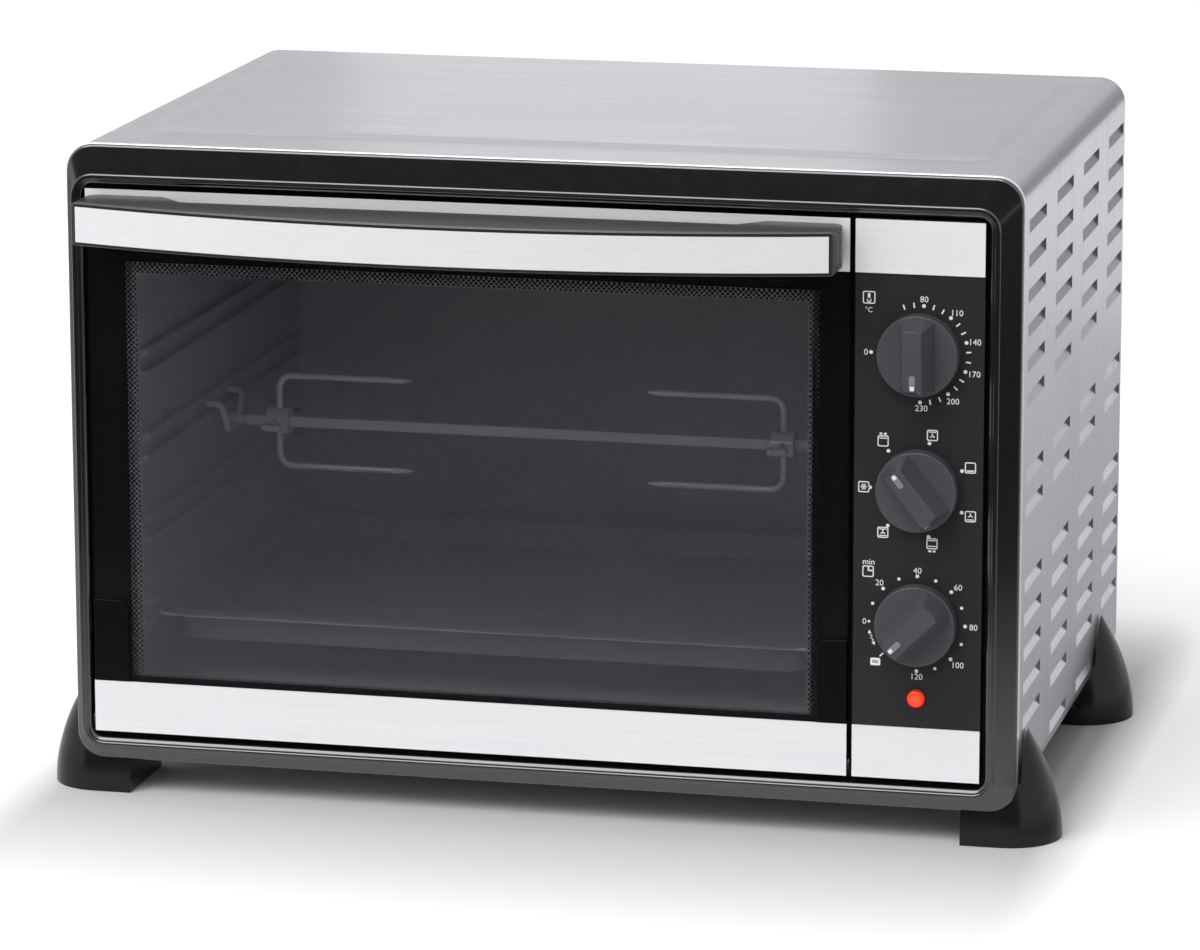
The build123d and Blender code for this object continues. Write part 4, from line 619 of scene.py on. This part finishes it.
ribs = []
outline = evenly(roundedRect(gripCentre, gripSize, ribLook["corner"]), ribLook["points"])
for behind in ribLook["lips"]:
    route = np.stack([outline[:, 0], bowFront(outline[:, 0]) + behind, outline[:, 1]], axis=-1)
    ribs.append(bandLoop(route, (0, 1, 0), ribLook["lipHeight"], ribLook["lipWidth"]))
# an upright is an oval carried up the end, of full size for most of its height and closed at both tips
rows, around = ribLook["uprightGrid"]
share = np.linspace(-1, 1, rows)[:, None]
swell = np.sqrt(1 - share ** ribLook["squareness"])
turn = np.linspace(0, 2 * np.pi, around, endpoint=False)
height = np.broadcast_to(gripCentre[1] + share * (gripSize[1] / 2 - ribLook["uprightEnd"]), (rows, around))
for endX in (gripLow[0], gripHigh[0]):
    for behind in ribLook["uprights"]:
        ribs.append((np.stack([endX + swell * ribLook["uprightHeight"] * np.cos(turn),
                               bowFront(endX) + behind + swell * ribLook["uprightWidth"] / 2 * np.sin(turn),
                               height], axis=-1), gridFaces(rows, around, loopColumns=True)))
# the ribs wear the lighter copy of the moulding, a painted highlight along their edges
makePiece("handleRibs", ribs, "paintedHighlightPbt", "door")

# Bezel bead and cover hem: a rounded ridge on the bezel round its opening, and the cover's turned edge, which wears
# the near-white chrome finish instead of the cover's stainless as a painted highlight.
edgeLook = dict(opening=(-270.0, 34.0, 261.0, 363.0), outset=5.0, corner=11.0, ridgeWide=1.7, ridgeHigh=0.7,
                ridgeSunk=0.2, hemHigh=0.7, hemWide=2.6, hemCorner=16.0, points=900)
bezelLow, bezelHigh = boxMm("front_bezel")
opening = np.array(edgeLook["opening"]).reshape(2, 2)
ridge = evenly(roundedRect(opening.mean(axis=0), opening[1] - opening[0] + 2 * edgeLook["outset"],
                           edgeLook["corner"]), edgeLook["points"])
bead = bandLoop(atDepth(ridge, bezelLow[1] + edgeLook["ridgeSunk"]), (0, 1, 0), edgeLook["ridgeWide"],
                2 * edgeLook["ridgeHigh"])
makePiece("bezelBead", [bead], "glossAbs", "case")
# the hem runs up one side, over the top and down the other, from fin top to fin top
coverFront = boxMm("cover_top")[0][1]
finTop = boxMm("foot_front_right")[1][2]
hem = evenly(roundedRect(((bezelLow + bezelHigh) / 2)[[0, 2]], (bezelHigh - bezelLow)[[0, 2]],
                         edgeLook["hemCorner"]), edgeLook["points"])
hem = hem[hem[:, 1] > finTop]
gap = np.argmax(np.linalg.norm(np.roll(hem, -1, axis=0) - hem, axis=1))  # last point before the part cut away
hem = np.roll(hem, -1 - gap, axis=0)
band = bandLoop(atDepth(hem, coverFront + edgeLook["hemWide"] / 2), (0, 1, 0), edgeLook["hemHigh"],
                edgeLook["hemWide"], closed=False)
# the hem's near-white chrome finish is a painted highlight along the cover's edge
makePiece("coverHem", [band], "brightChrome", "case")

# Tray rim: a rolled bead round the top edge of the drip tray, in the near-white strip finish instead of the tray's
# aluminium, a painted highlight along the rim.
trayLook = dict(bead=0.9, corner=6.0, points=360)
trayLow, trayHigh = boxMm("drip_tray")
rimPath = evenly(roundedRect((trayLow + trayHigh)[:2] / 2, (trayHigh - trayLow)[:2] - 2 * trayLook["bead"],
                             trayLook["corner"]), trayLook["points"])
rimPath = np.concatenate([rimPath, np.full((len(rimPath), 1), trayHigh[2] - trayLook["bead"])], axis=1)
makePiece("trayRim", [bandLoop(rimPath, (0, 0, 1), trayLook["bead"], 2 * trayLook["bead"])], "brushedStrip",
          "case")

# Pointer tips: white paint on the outer end of each insert.
tipLook = dict(length=2.4, width=2.3, inset=0.5, film=0.08, insertHalf=4.5)
for name, hub in dialCentre.items():
    low, high = boxMm(name + "_pointer")
    middle = ((low + high) / 2)[[0, 2]]
    out = (middle - hub) / np.linalg.norm(middle - hub)
    across = np.array([-out[1], out[0]])
    far = np.array([-1, 1, 1, -1]) * tipLook["length"] / 2
    wide = np.array([-1, -1, 1, 1]) * tipLook["width"] / 2
    spot = middle + out * (tipLook["insertHalf"] - tipLook["inset"] - tipLook["length"] / 2)
    outline = spot + far[:, None] * out + wide[:, None] * across
    makePiece(name + "Tip", [plate(outline, low[1] - tipLook["film"], low[1])], "printWhite", name + "_control")
print("handle ribs, bezel bead, cover hem, tray rim and pointer tips made")

# Stage: pale floor, soft studio light, and cards that only reflections see.
stageLook = dict(floor="#f4f4f4", floorSeen="#d6d6d7", floorHalf=14, floorRough=0.6, lift=0.45,
                 footing=((0, 0.03, 0), (0.285, 0.19, 0)), liftPull=(5, 1, 1), liftNear=0.02, liftFar=0.2,
                 world=(0.95, 0.1), sun=1.8, sunSpread=45, sunFrom=(-0.35, -0.75, 1.0),
                 card="#050505", cardNear=-0.25, cardFar=-0.8, cardCover=0.95)
# Cards, in metres: x, y and z from one edge to the opposite one, and an even tone; the floor card fades instead.
cardLook = dict(
    # these two lie and stand before the oven and keep its glass and black mouldings dark
    floorCard=((-3, 2), (-0.25, -3.6), (0.002, 0.002), None),
    frontCard=((-3.5, 3), (-4, -4), (0.05, 1.5), "#404042"),
    # the upper half of the right side mirrors the side card, the lower half the near card
    sideCard=((0.46, 1.0), (-0.3, 1.8), (0.002, 0.002), "#d8d8da"),
    nearCard=((0.31, 0.46), (-0.3, 1.8), (0.002, 0.002), "#bababd"),
    # the upper louvres mirror the grey card behind the oven, the lower ones the white card below it
    louvreCard=((0.45, 1.3), (1.38, 1.38), (0.27, 0.62), "#9c9c9e"),
    glintCard=((0.45, 1.3), (1.38, 1.38), (0.01, 0.27), "#ffffff"),
    # the right and left parts of the top mirror these, its middle the white room between them
    rearCard=((-0.1, 1.4), (1.4, 1.4), (0.3, 1.1), "#dadadc"),
    leftCard=((-1.5, -0.55), (1.4, 1.4), (0.3, 1.1), "#e2e2e4"),
)


def flatSheet(name, corners, material):
    # a flat four-cornered sheet of the stage
    mesh = bpy.data.meshes.new(name)
    mesh.from_pydata(corners, [], [[0, 1, 2, 3]])
    mesh.materials.append(material)
    sheet = bpy.data.objects.new(name, mesh)
    bpy.context.scene.collection.objects.link(sheet)
    return sheet


floorMaterial, tree = emptyMaterial("paleFloor")
seen = addNode(tree, "ShaderNodeLightPath").outputs["Is Camera Ray"]
# how far a point lies outside the oven's footing, counted more to the sides
away = addNode(tree, "ShaderNodeTexCoord").outputs["Object"]
for operation, value in (("SUBTRACT", stageLook["footing"][0]), ("ABSOLUTE", (0, 0, 0)),
                         ("SUBTRACT", stageLook["footing"][1]), ("MAXIMUM", (0, 0, 0)),
                         ("MULTIPLY", stageLook["liftPull"])):
    away = addNode(tree, "ShaderNodeVectorMath", {"operation": operation}, {0: away, 1: value}).outputs["Vector"]
away = addNode(tree, "ShaderNodeVectorMath", {"operation": "LENGTH"}, {0: away}).outputs["Value"]
floorTone = addNode(tree, "ShaderNodeMix", {"data_type": "RGBA"}, {
    0: seen, 6: linear(stageLook["floor"]), 7: linear(stageLook["floorSeen"])}).outputs[2]
# seen by the camera, the floor is lifted to white with that distance and stays grey round the footing: a painted
# shade added to the oven's real shadow
lift = addNode(tree, "ShaderNodeMapRange", inputs={
    "Value": away, "From Min": stageLook["liftNear"], "From Max": stageLook["liftFar"],
    "To Max": stageLook["lift"]}).outputs["Result"]
lift = addNode(tree, "ShaderNodeMath", {"operation": "MULTIPLY"}, {0: seen, 1: lift}).outputs[0]
floorShader = addNode(tree, "ShaderNodeBsdfPrincipled", inputs={
    "Base Color": floorTone, "Roughness": stageLook["floorRough"], "Specular IOR Level": 0.0,
    "Emission Color": (1, 1, 1, 1), "Emission Strength": lift})
addNode(tree, "ShaderNodeOutputMaterial", inputs={"Surface": floorShader.outputs[0]})
half = stageLook["floorHalf"]
flatSheet("floor", [(-half, -half, 0), (half, -half, 0), (half, half, 0), (-half, half, 0)], floorMaterial)

# The floor card fades in with its distance from the front, so low faces still mirror the pale floor.
fadingCard, tree = emptyMaterial("darkCard")
depth = addNode(tree, "ShaderNodeSeparateXYZ", inputs={
    0: addNode(tree, "ShaderNodeTexCoord").outputs["Object"]}).outputs["Y"]
cover = addNode(tree, "ShaderNodeMapRange", inputs={
    "Value": depth, "From Min": stageLook["cardNear"], "From Max": stageLook["cardFar"],
    "To Max": stageLook["cardCover"]}).outputs["Result"]
clear = addNode(tree, "ShaderNodeBsdfTransparent").outputs[0]
dark = addNode(tree, "ShaderNodeBsdfDiffuse", inputs={"Color": linear(stageLook["card"])}).outputs[0]
mixed = addNode(tree, "ShaderNodeMixShader", inputs={0: cover, 1: clear, 2: dark})
addNode(tree, "ShaderNodeOutputMaterial", inputs={"Surface": mixed.outputs[0]})


def plainCard(name, tone):
    # a card of one even brightness
    material, tree = emptyMaterial(name)
    even = addNode(tree, "ShaderNodeEmission", inputs={"Color": linear(tone)}).outputs[0]
    addNode(tree, "ShaderNodeOutputMaterial", inputs={"Surface": even})
    return material


for name, (x, y, z, tone) in cardLook.items():
    corners = [(x[0], y[0], z[0]), (x[1], y[0], z[0]), (x[1], y[1], z[1]), (x[0], y[1], z[1])]
    card = flatSheet(name, corners, plainCard(name.replace("Card", "Shade"), tone) if tone else fadingCard)
    for rays in ("camera", "diffuse", "transmission", "volume_scatter", "shadow"):
        setattr(card, "visible_" + rays, False)

# The room is white where it is seen, mirrored or looked at through glass; as a lamp it fades from left to right.
world = bpy.data.worlds.new("studio")
bpy.context.scene.world = world
world.use_nodes = True
tree = world.node_tree
tree.nodes.clear()
path = addNode(tree, "ShaderNodeLightPath").outputs
direct = addNode(tree, "ShaderNodeMath", {"operation": "ADD"}, {
    0: path["Is Camera Ray"], 1: path["Is Glossy Ray"]}).outputs[0]
direct = addNode(tree, "ShaderNodeMath", {"operation": "ADD", "use_clamp": True}, {
    0: direct, 1: path["Is Transmission Ray"]}).outputs[0]
sideways = addNode(tree, "ShaderNodeSeparateXYZ", inputs={
    0: addNode(tree, "ShaderNodeTexCoord").outputs["Generated"]}).outputs["X"]
soft = addNode(tree, "ShaderNodeMapRange", inputs={
    "Value": sideways, "From Min": -1.0, "To Min": stageLook["world"][0],
    "To Max": stageLook["world"][1]}).outputs["Result"]
strength = addNode(tree, "ShaderNodeMapRange", inputs={
    "Value": direct, "To Min": soft, "To Max": 1.0}).outputs["Result"]
sky = addNode(tree, "ShaderNodeBackground", inputs={"Color": (1, 1, 1, 1), "Strength": strength})
addNode(tree, "ShaderNodeOutputWorld", inputs={"Surface": sky.outputs[0]})

sun = bpy.data.objects.new("softKey", bpy.data.lights.new("softKey", "SUN"))
sun.data.energy = stageLook["sun"]
sun.data.angle = math.radians(stageLook["sunSpread"])
sun.rotation_euler = Vector(stageLook["sunFrom"]).to_track_quat("Z", "Y").to_euler()
bpy.context.scene.collection.objects.link(sun)

# Camera: place and turn found from the photograph's edges.
cameraLook = dict(place=(0.7999, -3.3580, 0.9344), azimuth=13.410, elevation=12.487, roll=-0.099, lens=176.73,
                  sensor=36.0, clipEnd=60.0)
azimuth, elevation, roll = (math.radians(cameraLook[key]) for key in ("azimuth", "elevation", "roll"))
right = Vector((math.cos(azimuth), math.sin(azimuth), 0))
back = Vector((math.sin(azimuth) * math.cos(elevation), -math.cos(azimuth) * math.cos(elevation),
               math.sin(elevation)))
up = back.cross(right)
turned = (math.cos(roll) * right + math.sin(roll) * up, math.cos(roll) * up - math.sin(roll) * right, back)
camera = bpy.data.objects.new("camera", bpy.data.cameras.new("camera"))
camera.data.lens = cameraLook["lens"]
camera.data.sensor_width = cameraLook["sensor"]
camera.data.sensor_fit = "HORIZONTAL"
camera.data.clip_end = cameraLook["clipEnd"]
camera.matrix_world = Matrix.Translation(cameraLook["place"]) @ Matrix(turned).transposed().to_4x4()
bpy.context.scene.collection.objects.link(camera)
bpy.context.scene.camera = camera
bpy.context.scene.view_settings.view_transform = "Standard"
print("stage and camera set")
